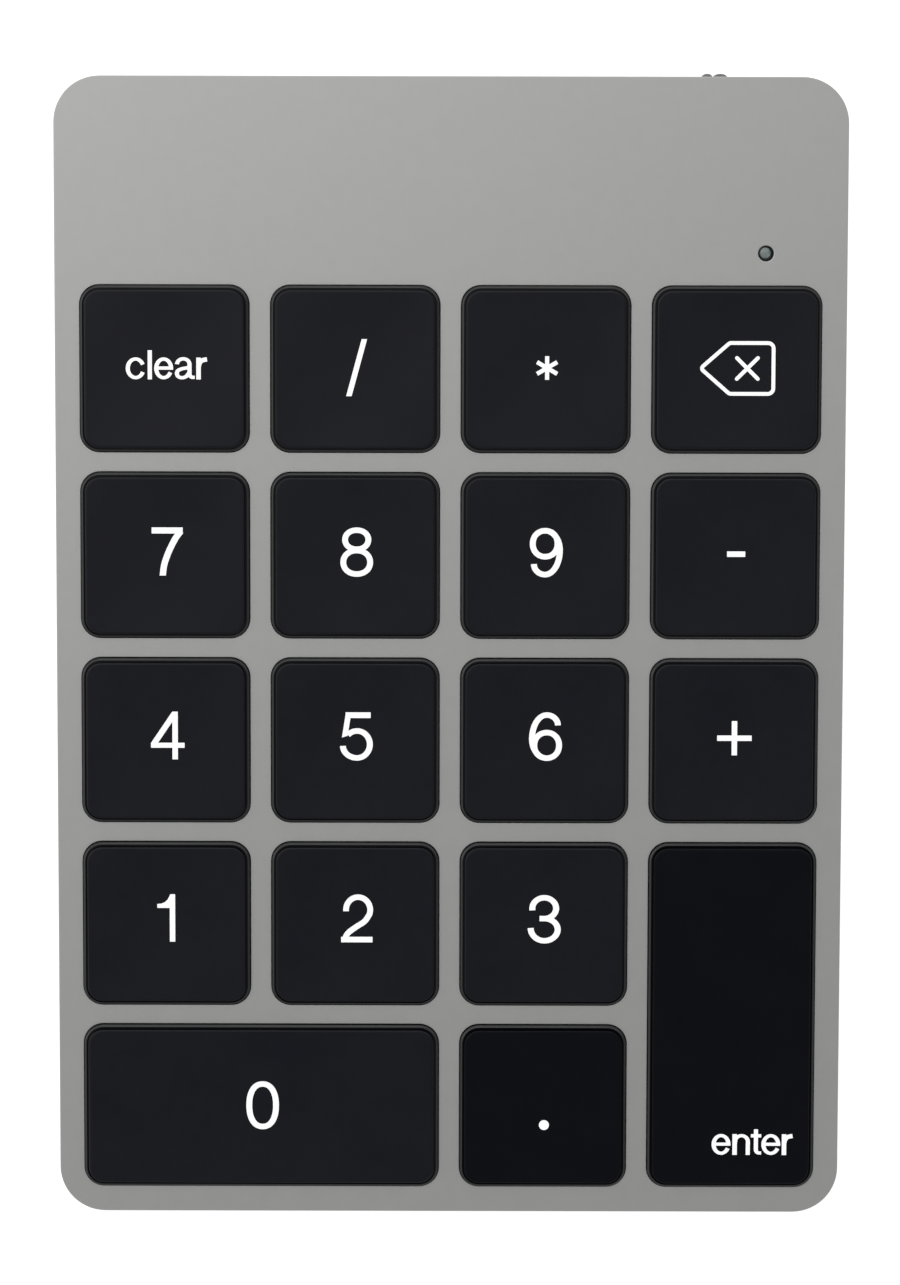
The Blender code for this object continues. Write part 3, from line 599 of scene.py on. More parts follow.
def make_cap(name):
    """Keycap: a skirt with a narrow flange, a groove, and a raised face with a shallow dish."""
    x, y, width, length = WELLS[name]
    shape = bmesh.new()

    def ring(inset, scale=1.0):
        return rounded((width - 2 * inset) * scale, (length - 2 * inset) * scale,
                       max(WELL_CORNER - inset, 0.3) * scale, x, y, side=CAP_PARTS)
    inner = CAP_WALL + CAP_SIDE[3][0]
    rings = [at_height(ring(inner), CAP_CEILING), at_height(ring(inner), CAP_BOTTOM + 0.1),
             at_height(ring(inner - 0.1), CAP_BOTTOM)]
    rings += [at_height(ring(inset), height) for inset, height in CAP_SIDE]
    rings += [at_height(ring(FACE_INSET, scale), dish(name)) for scale in FACE_RINGS]
    rows = loft(shape, rings, "flat", "flat")
    first_side = len(rings) - len(FACE_RINGS) - len(CAP_SIDE)
    # Faces of the flange rings take the lighter, glossier copy of the key plastic, a painted sheen.
    skirt = {vert for place in SKIRT_RINGS for vert in rows[first_side + place]}
    for face in shape.faces:
        face.material_index = int(all(vert in skirt for vert in face.verts))
    root = CAP_CEILING + 0.06
    plunger = turned(((1.3, -0.3), (1.37, -0.28), (1.4, -0.25), (1.4, -0.2), (1.5, root)), x, y)
    rails = [block(RAIL_WIDTH, RAIL_LENGTH, RAIL_FOOT, root, x + side * HOOK_X, y - LEVER_REACH / 2)
             for side in (-1, 1)]
    return together(shape, plunger, *rails)


for name in KEY_NAMES:
    # The enter and point keys take the copy of the key plastic with painted shade.
    finish = CAP_PAINTED_SHADE if name in PAINTED_SHADE_KEYS else CAP
    piece("cap_" + name, make_cap(name), finish, "key_" + name, ["key_" + name],
          second=SKIRT_PAINTED_SHEEN)

# ---- under the keys


def frame_bars(width, length, bar_x, bar_y, thickness):
    """A flat frame with softened edges about the origin."""
    half, corner, soft = thickness / 2, 0.7, 0.12
    bend = [(soft, half), (0.3 * soft, half - 0.3 * soft), (0.0, half - soft),
            (0.0, soft - half), (0.3 * soft, 0.3 * soft - half), (soft, -half)]

    def edge(grown_x, grown_y, radius):
        return rounded(width + 2 * grown_x, length + 2 * grown_y, radius, steps=5, side=8)
    rings = [at_height(edge(-inset, -inset, corner - inset), height) for inset, height in bend]
    rings += [at_height(edge(inset - bar_x, inset - bar_y, corner + inset), height)
              for inset, height in reversed(bend)]
    return hoop(rings)


def pin(start, end, y):
    """A round pin along X."""
    profile = ((start, 0.9), (start + 0.04, 1.0), (end - 0.08, 1.0), (end, 0.75))
    return solid([[Vector((x, y + across, up)) for across, up in circle(PIN_RADIUS * share, sides=16)]
                  for x, share in profile])


def make_lever():
    """Outer scissor lever in the frame of its base pivot."""
    bars = frame_bars(LEVER_WIDTH, LEVER_REACH + LEVER_THICKNESS, LEVER_BAR, LEVER_BAR, LEVER_THICKNESS)
    bmesh.ops.translate(bars, verts=bars.verts, vec=(0, -LEVER_REACH / 2, 0))
    pins = [pin(side * PIN_ROOT, side * PIN_TIP, y) for side in (-1, 1) for y in (0, -LEVER_REACH)]
    return together(bars, *pins)


def make_inner_lever():
    """Inner scissor lever about the key's middle, low at the front and high at the back."""
    bars = frame_bars(INNER_WIDTH, INNER_LENGTH, 0.9, 0.6, 0.5)
    place = Matrix.Translation((0, 0, INNER_HEIGHT)) @ Matrix.Rotation(INNER_TILT, 4, "X")
    bmesh.ops.transform(bars, matrix=place, verts=bars.verts)
    return bars


def make_dome(x, y):
    """Silicone dome that returns a key."""
    return turned(((0.3, -0.95), (1.0, -1.0), (1.3, -1.15), (1.9, -2.2), (2.3, DOME_FOOT),
                   (2.75, DOME_FOOT), (2.72, DOME_BASE + 0.12), (2.55, -2.42), (2.2, -2.05),
                   (1.72, -1.1), (1.58, -0.62), (1.5, -0.48), (1.38, -0.42), (1.2, -0.4), (0.3, -0.4)),
                  x, y, 28)


def make_sheet():
    """The sheet under the keys, pierced for the hooks, the domes and the two front posts."""
    low, high = extent("dome_sheet", ON_DECK)
    outer = rounded(high.x - low.x, high.y - low.y, 2.6, 0.0, (low.y + high.y) / 2, 6)
    holes = []
    for x, y, *_ in WELLS.values():
        holes += [rounded(1.2, 2.4, 0.3, x + side * HOOK_X, y + LEVER_REACH / 2, 3) for side in (-1, 1)]
        holes.append(circle(2.35, x, y, 28))
    for x, y in SCREWS:
        middle = ON_DECK @ (WORLD @ Vector((x, y, plate_level(y, low.z))))
        if middle.y < high.y:
            holes.append(circle(2.05, middle.x, middle.y, 24))
    return pierced([[at_height(outline, DOME_BASE), at_height(outline, low.z)]
                    for outline in (outer, *holes)])


piece("dome_web", make_sheet(), SILICONE, "case", ["dome_sheet"])
for name in KEY_NAMES:
    x, y = WELLS[name][:2]
    dome = piece("dome_" + name, make_dome(x, y), SILICONE, "case")
    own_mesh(dome)
    pivot = Matrix.Translation((x, y + LEVER_REACH / 2, LEVER_PIVOT_HEIGHT))
    lean = Matrix.Rotation(-math.asin(LEVER_RISE / LEVER_REACH), 4, "X")
    piece("lever_" + name, make_lever(), LEVER, "scissor_" + name, ["scissor_" + name],
          DECK @ pivot @ lean)
    inner = piece("inner_lever_" + name, make_inner_lever(), LEVER, None,
                  place=DECK @ Matrix.Translation((x, y, 0)))
    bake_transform(inner)


def tube(path, radius):
    """A round wire along a path."""
    rings = []
    side = None
    for place, point in enumerate(path):
        along = (path[min(place + 1, len(path) - 1)] - path[max(place - 1, 0)]).normalized()
        if side is None:
            side = along.orthogonal()
        side = (side - along * side.dot(along)).normalized()
        other = along.cross(side)
        rings.append([point + side * across + other * up for across, up in circle(radius, sides=14)])
    return solid(rings)


def make_wire():
    """Stabiliser wire about the middle of the bar that the cap holds."""
    run = math.sqrt(WIRE_ARM ** 2 - WIRE_DROP ** 2)
    foot = Vector((WIRE_HALF_SPAN, -run, -WIRE_DROP))
    corner = Vector((WIRE_HALF_SPAN, 0, 0))
    start, end = corner + (foot - corner).normalized() * WIRE_BEND, corner - Vector((WIRE_BEND, 0, 0))
    half = [foot, *(start.lerp(corner, share).lerp(corner.lerp(end, share), share)
                    for share in (step / 6 for step in range(7)))]
    return tube(half + [Vector((-point.x, point.y, point.z)) for point in reversed(half)], WIRE_RADIUS)


for key, offset, turn in (("0", 6.0, 0.0), ("enter", 7.0, -math.pi / 2)):
    x, y = WELLS[key][:2]
    place = Matrix.Translation((x - offset * math.sin(turn), y + offset * math.cos(turn), -0.5))
    piece("wire_" + key, make_wire(), WIRE, "stabiliser_" + key, ["stabiliser_" + key],
          DECK @ place @ Matrix.Rotation(turn, 4, "Z"))

# ---- lamp, knob and port


def make_lens():
    """Light pipe: a shallow dome in a dark moat, on a flange under the plate."""
    profile = ((1.3, LAMP_LOW.z), (1.3, LAMP_LOW.z + 0.25), (0.61, LAMP_LOW.z + 0.27), (0.6, -0.36),
               (0.585, -0.26), (0.54, -0.17), (0.45, -0.11), (0.32, -0.07), (0.16, -0.045),
               (0.03, LAMP_HIGH.z))
    return turned(profile, *(LAMP + LAMP_LEAN).xy, 40)


def make_moat():
    """Dark sleeve that holds the light pipe in the plate."""
    top = -0.09
    profile = [(0.66, LAMP_LOW.z + 0.3), (0.76, LAMP_LOW.z + 0.3), (0.76, top - 0.03),
               (0.75, top), (0.73, top), (0.71, top - 0.04), (0.66, top - 0.22)]
    return hoop([at_height(circle(radius, LAMP.x, LAMP.y, 40), height) for radius, height in profile])


piece("lamp_pipe", make_lens(), LENS, "case", ["lamp_lens"])
piece("lamp_sleeve", make_moat(), SLEEVE, "case")


def make_knob():
    """Slide knob with two rounded finger ridges, wider on the right."""
    half = KNOB_SIZE.z / 2
    proud = KNOB_HIGH.y - CASE_BACK
    root = CASE_BACK - 2.2
    outline = [(KNOB_LOW.x, root), (KNOB_LOW.x, CASE_BACK + 0.02)]
    for share_low, share_high in ((0.02, 0.42), (0.46, 0.98)):
        left, right = (KNOB_LOW.x + KNOB_SIZE.x * share for share in (share_low, share_high))
        for step in range(9):
            turn = math.pi * step / 8
            outline.append(((left + right) / 2 - (right - left) / 2 * math.cos(turn),
                            CASE_BACK + 0.04 + (proud - 0.04) * math.sin(turn)))
    outline += [(KNOB_HIGH.x, CASE_BACK + 0.02), (KNOB_HIGH.x, root)]
    centre = Vector((KNOB_MIDDLE.x, CASE_BACK - 1.0))
    rings = []
    for inset, height in ((0.10, -half), (0.03, 0.07 - half), (0.0, 0.16 - half), (0.0, half - 0.16),
                          (0.03, half - 0.07), (0.10, half)):
        shrink = Vector((1 - 2 * inset / KNOB_SIZE.x, 1 - inset / 1.5))
        rings.append([Vector((centre.x + (x - centre.x) * shrink.x, centre.y + (y - centre.y) * shrink.y,
                              KNOB_MIDDLE.z + height)) for x, y in outline])
    stem = block(1.2, 1.6, KNOB_MIDDLE.z - 0.45, KNOB_MIDDLE.z + 0.45, centre.x, KNOB_LOW.y + 0.8)
    return together(solid(rings), stem)


def make_port():
    """Drawn steel shell, open towards the back."""
    def ring(inset, y):
        height = PORT_SIZE.z - 2 * inset
        return upright(PORT_SIZE.x - 2 * inset, height, height * 0.49, y, PORT_MIDDLE.x, PORT_MIDDLE.z, 10)
    mouth, back = PORT_HIGH.y, PORT_LOW.y
    return solid([ring(0.25, back), ring(0.06, back + 0.06), ring(0.0, back + 0.2),
                  ring(0.0, mouth - 0.08), ring(0.03, mouth - 0.02), ring(0.09, mouth), ring(0.2, mouth),
                  ring(0.27, mouth - 0.03), ring(0.3, mouth - 0.1), ring(0.3, back + 0.3)])


TONGUE_LOW, TONGUE_HIGH = extent("usb_tongue", ON_DECK)
TONGUE_THICKNESS = 0.7
TONGUE_REACH = 4.9
HEEL_WIDTH = 5.7
CONTACTS = 12
CONTACT_PITCH = 0.5


def make_tongue():
    """Contact tongue with a softened tip, on its heel."""
    wide, _, tall = TONGUE_HIGH - TONGUE_LOW

    def ring(width, height, y, corner=0.1):
        return upright(width, height, corner, y, PORT_MIDDLE.x, PORT_MIDDLE.z, 4)
    tip = TONGUE_HIGH.y
    tongue = solid([ring(wide, TONGUE_THICKNESS, TONGUE_LOW.y + 0.1), ring(wide, TONGUE_THICKNESS, tip - 0.5),
                    ring(wide - 0.1, 0.62, tip - 0.2), ring(wide - 0.3, 0.46, tip - 0.05),
                    ring(wide - 0.5, 0.3, tip)])
    heel_back = tip - TONGUE_REACH
    heel = solid([ring(HEEL_WIDTH - less, tall - less, y, 0.15) for less, y in (
        (0, TONGUE_LOW.y), (0, heel_back - 0.1), (0.2, heel_back))])
    return together(tongue, heel)


def make_contacts():
    """Twelve gold contacts on each face of the tongue."""
    strips = []
    for side in (-1, 1):
        level = PORT_MIDDLE.z + side * TONGUE_THICKNESS / 2
        for number in range(CONTACTS):
            strips.append(block(0.26, 3.0 if number % 3 else 3.5, level - 0.02, level + 0.02,
                                (number - (CONTACTS - 1) / 2) * CONTACT_PITCH, TONGUE_HIGH.y - 2.5, 0.008))
    return together(*strips)


piece("port_shell", make_port(), SHIELD, "case", ["usb_port_shell"])
piece("port_tongue", make_tongue(), BLACK, "case", ["usb_tongue"])
piece("port_contacts", make_contacts(), GOLD, "case")
piece("switch_slider", make_knob(), KNOB, "switch_knob", ["switch_knob"])

# ---- cover, feet and screws

FEET = ("front_foot", "rear_foot")
FOOT_MARGIN = 0.2
SOLE_ROUND = 0.32
RIB_ROWS = (-46.0, -28.0, 2.0, 38.0)
RIB_LENGTH = 56.0


def make_cover():
    """Cover with softened edges, foot pockets, countersinks and ribs."""
    width, length = COVER_HIGH.x - COVER_LOW.x, COVER_HIGH.y - COVER_LOW.y
    plate = block(width, length, COVER_LOW.z, COVER_TOP, 0.0, (COVER_LOW.y + COVER_HIGH.y) / 2, 0.12,
                  3.2, 8)
    cuts = [turned(((1.85, COVER_LOW.z - 0.2), (1.72, COVER_LOW.z), (1.62, COVER_LOW.z + 0.06),
                    (1.6, COVER_LOW.z + 0.12), (0.78, COVER_LOW.z + 0.66), (0.78, COVER_TOP + 0.3)),
                   x, y, 40) for x, y in SCREWS]
    for name in FEET:
        low, high = extent(name, IN_WORLD)
        long, wide = (size + 2 * FOOT_MARGIN for size in (high - low).xy)
        cuts.append(block(long, wide, COVER_LOW.z - 1, high.z + 0.05, 0.0, (low.y + high.y) / 2, 0.04,
                          wide * 0.49, 12))
    ribs = [block(RIB_LENGTH, 1.0, COVER_TOP - 0.2, plate_level(y - 0.5, -3.7) - 0.3, 0.0, y, 0.1)
            for y in RIB_ROWS]
    return together(carved(plate, *cuts), *ribs)


def make_foot(name):
    """Rubber strip with round ends and a softened sole."""
    low, high = extent(name, IN_WORLD)
    size, middle = high - low, (high + low) / 2

    def ring(inset, height):
        return at_height(rounded(size.x - 2 * inset, size.y - 2 * inset, (size.y - 2 * inset) * 0.49,
                                 middle.x, middle.y, 14), height)
    rings = [ring(SOLE_ROUND * (1 - out), low.z + SOLE_ROUND * up) for out, up in rim(6)]
    grooves = [ring(inset, low.z + lift) for inset, lift in ((1.0, 0.12), (0.85, 0.12), (0.75, 0.0))]
    return solid([*grooves, *rings, ring(0.0, high.z - 0.05), ring(0.05, high.z)])


def make_screw(x, y, low):
    """Countersunk screw with a tapered cross recess."""
    body = turned(((SCREW_HEAD - 0.06, low), (SCREW_HEAD - 0.01, low + 0.02), (SCREW_HEAD, low + 0.05),
                   (SCREW_SHANK + 0.05, low + 0.5), (SCREW_SHANK, low + 0.6), (SCREW_SHANK, low + 3.3),
                   (SCREW_SHANK - 0.25, low + 3.6)), x, y, 40)
    cross = []
    for turn in (0, 90):
        arm = solid([at_height(rounded(long, wide, 0.07, steps=4), height) for long, wide, height in (
            (1.66, 0.42, -0.15), (1.5, 0.34, 0.03), (0.9, 0.24, 0.3))])
        bmesh.ops.transform(arm, verts=arm.verts, matrix=Matrix.Translation((x, y, low)) @
                            Matrix.Rotation(math.radians(turn + 20 * x), 4, "Z"))
        cross.append(arm)
    return carved(body, *cross)


piece("cover_panel", make_cover(), COVER, "case", ["bottom_cover"], WORLD, 25)
for name in FEET:
    piece(name + "_pad", make_foot(name), RUBBER, "case", [name], WORLD)
for name, (x, y) in zip(SCREW_NAMES, SCREWS):
    piece(name.replace("cover_", ""), make_screw(x, y, extent(name, IN_WORLD)[0].z), SCREW, "case",
          [name], WORLD)

# ---- legends
# Glyphs are drawn in millimetres with Y pointing down from the top of the tallest letter.


def arc(x, y, radius_x, radius_y, start, stop, power=2.0, steps=18):
    """Points on an oval from one angle to another in degrees; 0 is right and 90 is down."""
    points = []
    for step in range(steps + 1):
        turn = math.radians(start + (stop - start) * step / steps)
        cos, sin = math.cos(turn), math.sin(turn)
        points.append((x + radius_x * math.copysign(abs(cos) ** (2 / power), cos),
                       y + radius_y * math.copysign(abs(sin) ** (2 / power), sin)))
    return points


def curve(*knots):
    """Smooth run through the knots."""
    points = []
    ends = [knots[0], *knots, knots[-1]]
    for before, start, end, after in zip(ends, ends[1:], ends[2:], ends[3:]):
        for t in (step / 8 for step in range(8)):
            points.append(tuple(
                0.5 * (2 * b + (c - a) * t + (2 * a - 5 * b + 4 * c - d) * t * t
                       + (3 * b - a - 3 * c + d) * t ** 3)
                for a, b, c, d in zip(before, start, end, after)))
    return [*points, knots[-1]]


def pen(line, upright=UPRIGHT, level=LEVEL, flat=False):
    """Stroke along a line as four-sided areas; its width follows its direction.

    With flat, its ends are cut level instead of square to the line.
    """
    points = [Vector(line[0])]
    for point in line[1:]:
        if (Vector(point) - points[-1]).length > 0.05:
            points.append(Vector(point))
    closed = (Vector(line[0]) - Vector(line[-1])).length < 1e-3
    if closed:
        points[-1] = points[0].copy()
    sides = []
    for place, point in enumerate(points):
        before = points[place - 1] if place else points[-2 if closed else 0]
        after = points[place + 1] if place + 1 < len(points) else points[1 if closed else -1]
        along = (after - before).normalized()
        width = upright * along.y ** 2 + level * along.x ** 2
        across = Vector((-along.y, along.x)) * width / 2
        if flat and place in (0, len(points) - 1):
            across = Vector((across.length ** 2 / across.x, 0))
        sides.append((tuple(point - across), tuple(point + across)))
    return [(a[0], a[1], b[1], b[0]) for a, b in zip(sides, sides[1:])]


def area(*corners):
    """A filled polygon."""
    return [corners]


def bar(left, top, right, bottom):
    """A filled upright rectangle."""
    return area((left, top), (right, top), (right, bottom), (left, bottom))


def filleted(corners, radii):
    """A closed line with each corner rounded off."""
    points = []
    for place, (corner, radius) in enumerate(zip(map(Vector, corners), radii)):
        before = (Vector(corners[place - 1]) - corner).normalized()
        after = (Vector(corners[place + 1 - len(corners)]) - corner).normalized()
        half = before.angle(after) / 2
        reach = radius / math.tan(half)
        centre = corner + (before + after).normalized() * radius / math.sin(half)
        start, stop = corner + before * reach - centre, corner + after * reach - centre
        swing = start.angle_signed(stop)
        for step in range(7):
            points.append(tuple(centre + Matrix.Rotation(-swing * step / 6, 2) @ start))
    return [*points, points[0]]


def nine():
    """The figure 9; a 6 is the same figure turned half round."""
    bowl = pen(arc(1.63, 1.64, 1.29, 1.32, 0, 360, 2.1, 36))
    tail = pen([*arc(1.63, 2.30, 1.53, 1.985, -90, 0), *arc(1.63, 2.30, 1.53, 2.475, 0, 90),
                *arc(1.63, 3.71, 1.16, 1.065, 90, 180)])
    return bowl + tail


def letter(name):
    """A lower-case letter with its left side at 0, below an ascender 3.06 high."""
    def stroke(*line):
        return pen(line, WORD_UPRIGHT, WORD_LEVEL)
    base, top = 3.06, 0.76
    if name == "l":
        return bar(0.02, 0, 0.45, base)
    if name == "c":
        return stroke(*arc(1.02, 1.90, 0.80, 0.98, -24, -336, steps=32))
    if name == "e":
        return (stroke(*arc(0.98, 1.90, 0.76, 0.98, 8, -334, steps=34))
                + bar(0.3, 1.70, 1.93, 2.04))
    if name == "a":
        return (stroke(*arc(0.86, 1.50, 0.62, 0.60, 184, 270), *arc(0.90, 1.46, 0.62, 0.56, 270, 360),
                       (1.52, 2.4), *arc(1.84, 2.46, 0.32, 0.38, 180, 90), (2.05, 2.84))
                + stroke(*curve((1.52, 1.72), (1.2, 1.85), (0.72, 1.95), (0.34, 2.14), (0.23, 2.44),
                                (0.37, 2.76), (0.76, 2.88), (1.18, 2.74), (1.52, 2.30))))
    if name == "r":
        return (bar(0, top, 0.46, base)
                + pen(curve((0.24, 1.95), (0.33, 1.42), (0.60, 1.06), (1.14, 0.94)), 0.42, 0.46))
    if name == "n":
        return (bar(0, top, 0.46, base)
                + stroke((0.24, 2.0), *arc(0.93, 1.60, 0.66, 0.67, 195, 360), (1.58, base)))
    return (bar(0, top, 1.06, 1.12)  # t
            + stroke((0.52, 0.22), (0.52, 2.4), *arc(0.84, 2.46, 0.32, 0.38, 180, 90), (1.06, 2.84)))


def word(text, places):
    """Letters set side by side."""
    areas = []
    for name, place in zip(text, places):
        areas += [tuple((x + place, y) for x, y in corners) for corners in letter(name)]
    return areas


def star():
    """Six short arms about a point."""
    areas = []
    for turn in map(math.radians, (30, 90, 150)):
        arm = Vector((math.cos(turn), math.sin(turn))) * 1.25
        areas += pen([tuple(-arm), tuple(arm)], 0.44, 0.44)
    return areas


def erase():
    """A left-pointing tag with a cross in it."""
    tag = filleted([(0.12, 2.815), (3.05, 0.235), (7.48, 0.235), (7.48, 5.395), (3.05, 5.395)],
                   [0.3, 0.45, 0.55, 0.55, 0.45])
    areas = pen(tag, TAG_STROKE, TAG_STROKE)
    middle = Vector((4.85, 2.815))
    for lean in (-1, 1):
        arm = Vector((1.06, 1.06 * lean))
        areas += pen([tuple(middle - arm), tuple(middle + arm)], TAG_STROKE, TAG_STROKE)
        areas += [tuple(circle(TAG_STROKE / 2, *(middle + side * arm), sides=14)) for side in (-1, 1)]
    return areas


GLYPHS = {  # drawing, width, height, then its middle from the key's middle, with Y up
    "clear": (word("clear", (0, 2.23, 2.90, 5.00, 7.21)), 8.14, 2.90, 0.24, 0.41),
    "divide": (area((1.62, 0), (2.19, 0), (0.57, 5.9), (0, 5.9)), 2.09, 5.69, 0.15, 0.17),
    "multiply": (star(), 2.21, 2.35, 0.10, 0.18),
    "backspace": (erase(), 7.50, 5.44, 0.06, 0.18),
    "7": (bar(0, 0, 3.32, 0.64) + area((3.32, 0.6), (3.32, 0.66), (2.66, 0.66), (2.5, 0.6))
          + pen(curve((2.97, 0.58), (2.49, 1.24), (1.81, 2.58), (1.34, 3.9), (1.17, 5.06)), 0.66, 0.66,
                flat=True), 3.17, 4.84, 0.26, 0.42),
    "8": (pen(arc(1.75, 1.29, 1.22, 0.98, 0, 360, 2.1, 36))
          + pen(arc(1.75, 3.61, 1.41, 1.21, 0, 360, 2.1, 36)), 3.28, 4.96, 0.16, 0.40),
    "9": (nine(), 3.31, 4.97, 0.10, 0.39),
    "minus": (bar(0, 0, 1.91, 0.56), 1.82, 0.55, 0.07, 0.28),
    "4": (bar(2.30, 0, 2.89, 4.95) + bar(0, 3.23, 3.61, 3.75)
          + area((2.30, 0), (2.89, 0), (2.89, 0.21), (0.74, 3.26), (0, 3.26)), 3.38, 4.84, 0.20, 0.54),
    "5": (bar(0.62, 0, 3.22, 0.59) + area((0.66, 0), (1.22, 0), (0.83, 2.42), (0.24, 2.60))
          + pen([*arc(1.81, 3.30, 1.33, 1.38, 225, 360), *arc(1.81, 3.30, 1.33, 1.40, 0, 90),
                 *arc(1.81, 3.47, 1.465, 1.23, 90, 180)]), 3.30, 4.90, 0.13, 0.48),
    "6": ([tuple((-x, -y) for x, y in corners) for corners in nine()], 3.32, 4.93, 0.11, 0.51),
    "plus": (bar(1.50, 0, 2.06, 3.55) + bar(0, 1.495, 3.56, 2.055), 3.47, 3.47, 0.06, 0.39),
    "1": (area((0, 1.42), (0, 1.02), (0.45, 0.97), (0.82, 0.82), (1.12, 0.55), (1.33, 0.16), (1.39, 0),
               (1.92, 0), (1.92, 4.91), (1.34, 4.91), (1.34, 1.42)), 1.80, 4.85, -0.03, 0.65),
    "2": (bar(0.02, 4.36, 3.36, 4.92)
          + pen([*arc(1.83, 1.62, 1.29, 1.30, 174, 380),
                 *curve((3.04, 2.06), (2.52, 2.78), (1.55, 3.40), (0.72, 4.02), (0.38, 4.72))]),
          3.23, 4.90, 0.20, 0.65),
    "3": (pen([*arc(1.73, 1.42, 1.215, 1.10, 171, 360), *arc(1.73, 1.38, 1.21, 1.04, 0, 90),
               (1.26, 2.42)], UPRIGHT, 0.54)
          + pen([(1.26, 2.42), *arc(1.75, 3.52, 1.36, 1.10, -90, 0), *arc(1.75, 3.52, 1.36, 1.13, 0, 90),
                 *arc(1.75, 3.37, 1.39, 1.28, 90, 180)], UPRIGHT, 0.54), 3.34, 4.95, 0.06, 0.60),
    "enter": (word("enter", (0, 2.14, 4.03, 5.10, 7.20)), 8.24, 2.64, 2.23, -12.90),
    "0": (pen(arc(1.735, 2.49, 1.39, 2.19, 0, 360, 2.25, 44)), 3.31, 4.95, 0.14, 0.12),
    "point": ([tuple(circle(0.57, sides=24))], 1.02, 1.02, 0.12, -1.86),
}


def turning(outline):
    """Twice an outline's area, negative where it runs clockwise."""
    return sum(a.x * b.y - b.x * a.y for a, b in zip(outline, [*outline[1:], outline[0]]))


def make_legend(name):
    """A key's printed legend: a thin layer that follows the dish."""
    areas, width, height, right, up = GLYPHS[name]
    x, y = WELLS[name][:2]
    level = dish(name)
    points = [point for corners in areas for point in corners]
    left, top = (min(point[axis] for point in points) for axis in (0, 1))
    wide, tall = (max(point[axis] for point in points) - low for axis, low in ((0, left), (1, top)))
    coords, faces = [], []
    for corners in areas:
        placed = [Vector((x + right + ((px - left) / wide - 0.5) * width,
                          y + up - ((py - top) / tall - 0.5) * height)) for px, py in corners]
        if turning(placed) < 0:
            placed.reverse()
        faces.append(list(range(len(coords), len(coords) + len(placed))))
        coords += placed
    found = delaunay_2d_cdt(coords, [], faces, 0, 1e-4)
    shape = bmesh.new()
    rows = [[shape.verts.new((point.x, point.y, level(point.x, point.y) + lift)) for point in found[0]]
            for lift in (LEGEND_RAISE, -LEGEND_SINK)]
    borders = {}
    for corners, sources in zip(found[2], found[5]):
        if not sources:
            continue
        for row in rows:
            shape.faces.new([row[corner] for corner in corners])
        for start, end in zip(corners, [*corners[1:], corners[0]]):
            key = (min(start, end), max(start, end))
            borders[key] = borders.get(key, 0) + 1
    for (start, end), uses in borders.items():
        if uses == 1:
            shape.faces.new((rows[0][start], rows[0][end], rows[1][end], rows[1][start]))
    bmesh.ops.delete(shape, geom=[vert for vert in shape.verts if not vert.link_faces], context="VERTS")
    return shape


# Each legend takes the white ink with its painted glow.
for name in KEY_NAMES:
    piece("legend_" + name, make_legend(name), INK_PAINTED_GLOW, "key_" + name)

# ---- finish of the CAD nodes that stay

for node in NODES.values():
    for material_slot in node.material_slots:
        plain = material_slot.material.name.split(".")[0]
        material_slot.material = FINISHES[plain]

# ---- floor, light, camera

BRIGHT_SIDE = Vector((-0.45, 0.89, 0))
BY_HEIGHT = ((0.0, 0.50), (0.48, 0.58), (0.62, 0.68), (0.81, 0.76), (0.88, 0.72), (0.93, 0.63),
             (1.0, 0.52))
BY_SIDE = ((0.0, 0.85), (0.28, 0.70), (0.36, 0.45), (0.52, 1.17), (0.68, 1.12), (1.0, 0.72))


def make_floor():
    """A pale sweep under the keypad."""
    shape = bmesh.new()
    loft(shape, [at_height(circle(radius, sides=64), -0.02) for radius in (4000, 1500, 400, 100)],
         last="fan")
    return shape


piece("floor", make_floor(), FLOOR, None, place=WORLD)


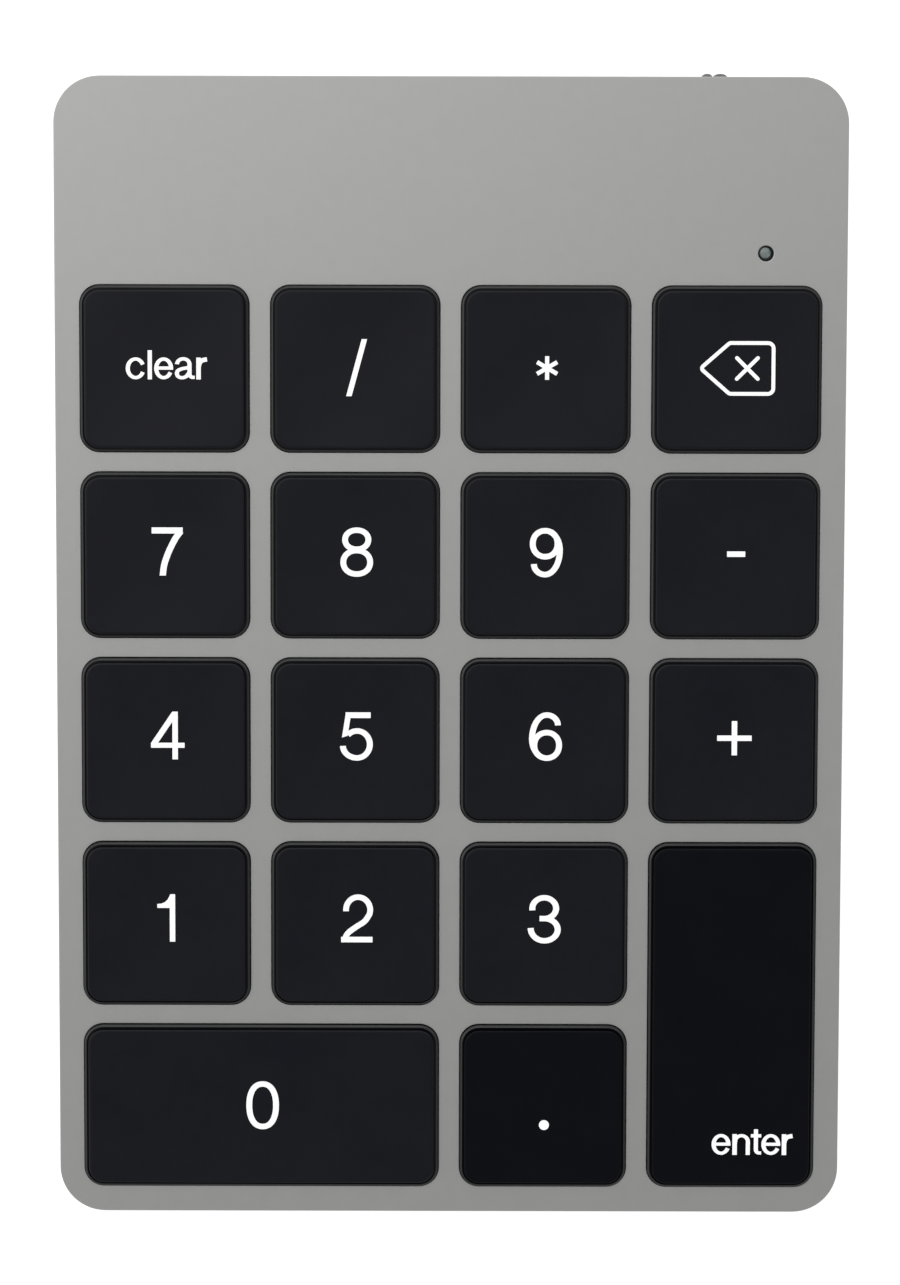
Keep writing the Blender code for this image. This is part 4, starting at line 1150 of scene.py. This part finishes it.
def make_world():
    """Studio surroundings: dim overhead, brightest half-way down and towards one side."""
    world = bpy.data.worlds.new("studio")
    world.use_nodes = True
    tree = world.node_tree
    place = add_node(tree, "TexCoord", {}).outputs["Generated"]

    def ramp_along(axis, stops):
        facing = add_node(tree, "VectorMath", {0: place, 1: axis}, operation="DOT_PRODUCT")
        shift = add_node(tree, "MapRange", {"Value": facing.outputs["Value"], "From Min": -1.0})
        ramp = add_node(tree, "ValToRGB", {"Fac": shift.outputs["Result"]})
        ramp.color_ramp.interpolation = "EASE"
        marks = ramp.color_ramp.elements
        while len(marks) < len(stops):
            marks.new(0.5)
        for mark, (position, value) in zip(marks, stops):
            mark.position = position
            mark.color = (value, value, value, 1)
        return ramp.outputs["Color"]

    product = add_node(tree, "VectorMath", {
        0: ramp_along(UP, BY_HEIGHT), 1: ramp_along(BRIGHT_SIDE, BY_SIDE)}, operation="MULTIPLY")
    tree.links.new(product.outputs["Vector"], tree.nodes["Background"].inputs["Color"])
    bpy.context.scene.world = world


LAMPS_AIM = Vector((0, 0, 8))


def softbox(name, place, size, radiance):
    """A square lamp at a place in millimetres, of that brightness, facing the keypad."""
    lamp = bpy.data.lights.new(name, "AREA")
    lamp.shape = "SQUARE"
    lamp.size = size * MM
    lamp.energy = radiance * math.pi * lamp.size ** 2
    made = place_object(name, lamp)
    made.location = Vector(place) * MM
    made.rotation_euler = (LAMPS_AIM - Vector(place)).to_track_quat("-Z", "Y").to_euler()


make_world()
softbox("key_light", (-160, 250, 620), 520, 0.62)
softbox("left_light", (-900, 200, 700), 500, 1.1)
softbox("back_light", (-100, 950, 700), 500, 0.9)


CAMERA_AIM = Vector((0.0, 0.878, 0.0))
CAMERA_DISTANCE = 447.7
CAMERA_LEAN = math.radians(6.0)
CAMERA_ROLL = math.radians(0.13)
CAMERA_LENS = 124.73


def make_camera():
    """The photograph's viewpoint: above the plate's back half, looking a little forwards."""
    lens = bpy.data.cameras.new("camera")
    lens.sensor_width = 36.0
    lens.lens = CAMERA_LENS
    lens.clip_start = 0.01
    lens.clip_end = 20.0
    camera = place_object("camera", lens)
    turn = ON_DECK.to_3x3().inverted().normalized()
    place = CAMERA_AIM + Vector((0, math.sin(CAMERA_LEAN), math.cos(CAMERA_LEAN))) * CAMERA_DISTANCE
    local = Matrix.Rotation(-CAMERA_LEAN, 3, "X") @ Matrix.Rotation(CAMERA_ROLL, 3, "Z")
    camera.matrix_world = Matrix.Translation(DECK @ place) @ (turn @ local).to_4x4()
    bpy.context.scene.camera = camera


make_camera()
bpy.context.scene.view_settings.view_transform = "Standard"
bpy.context.scene.view_settings.look = "None"
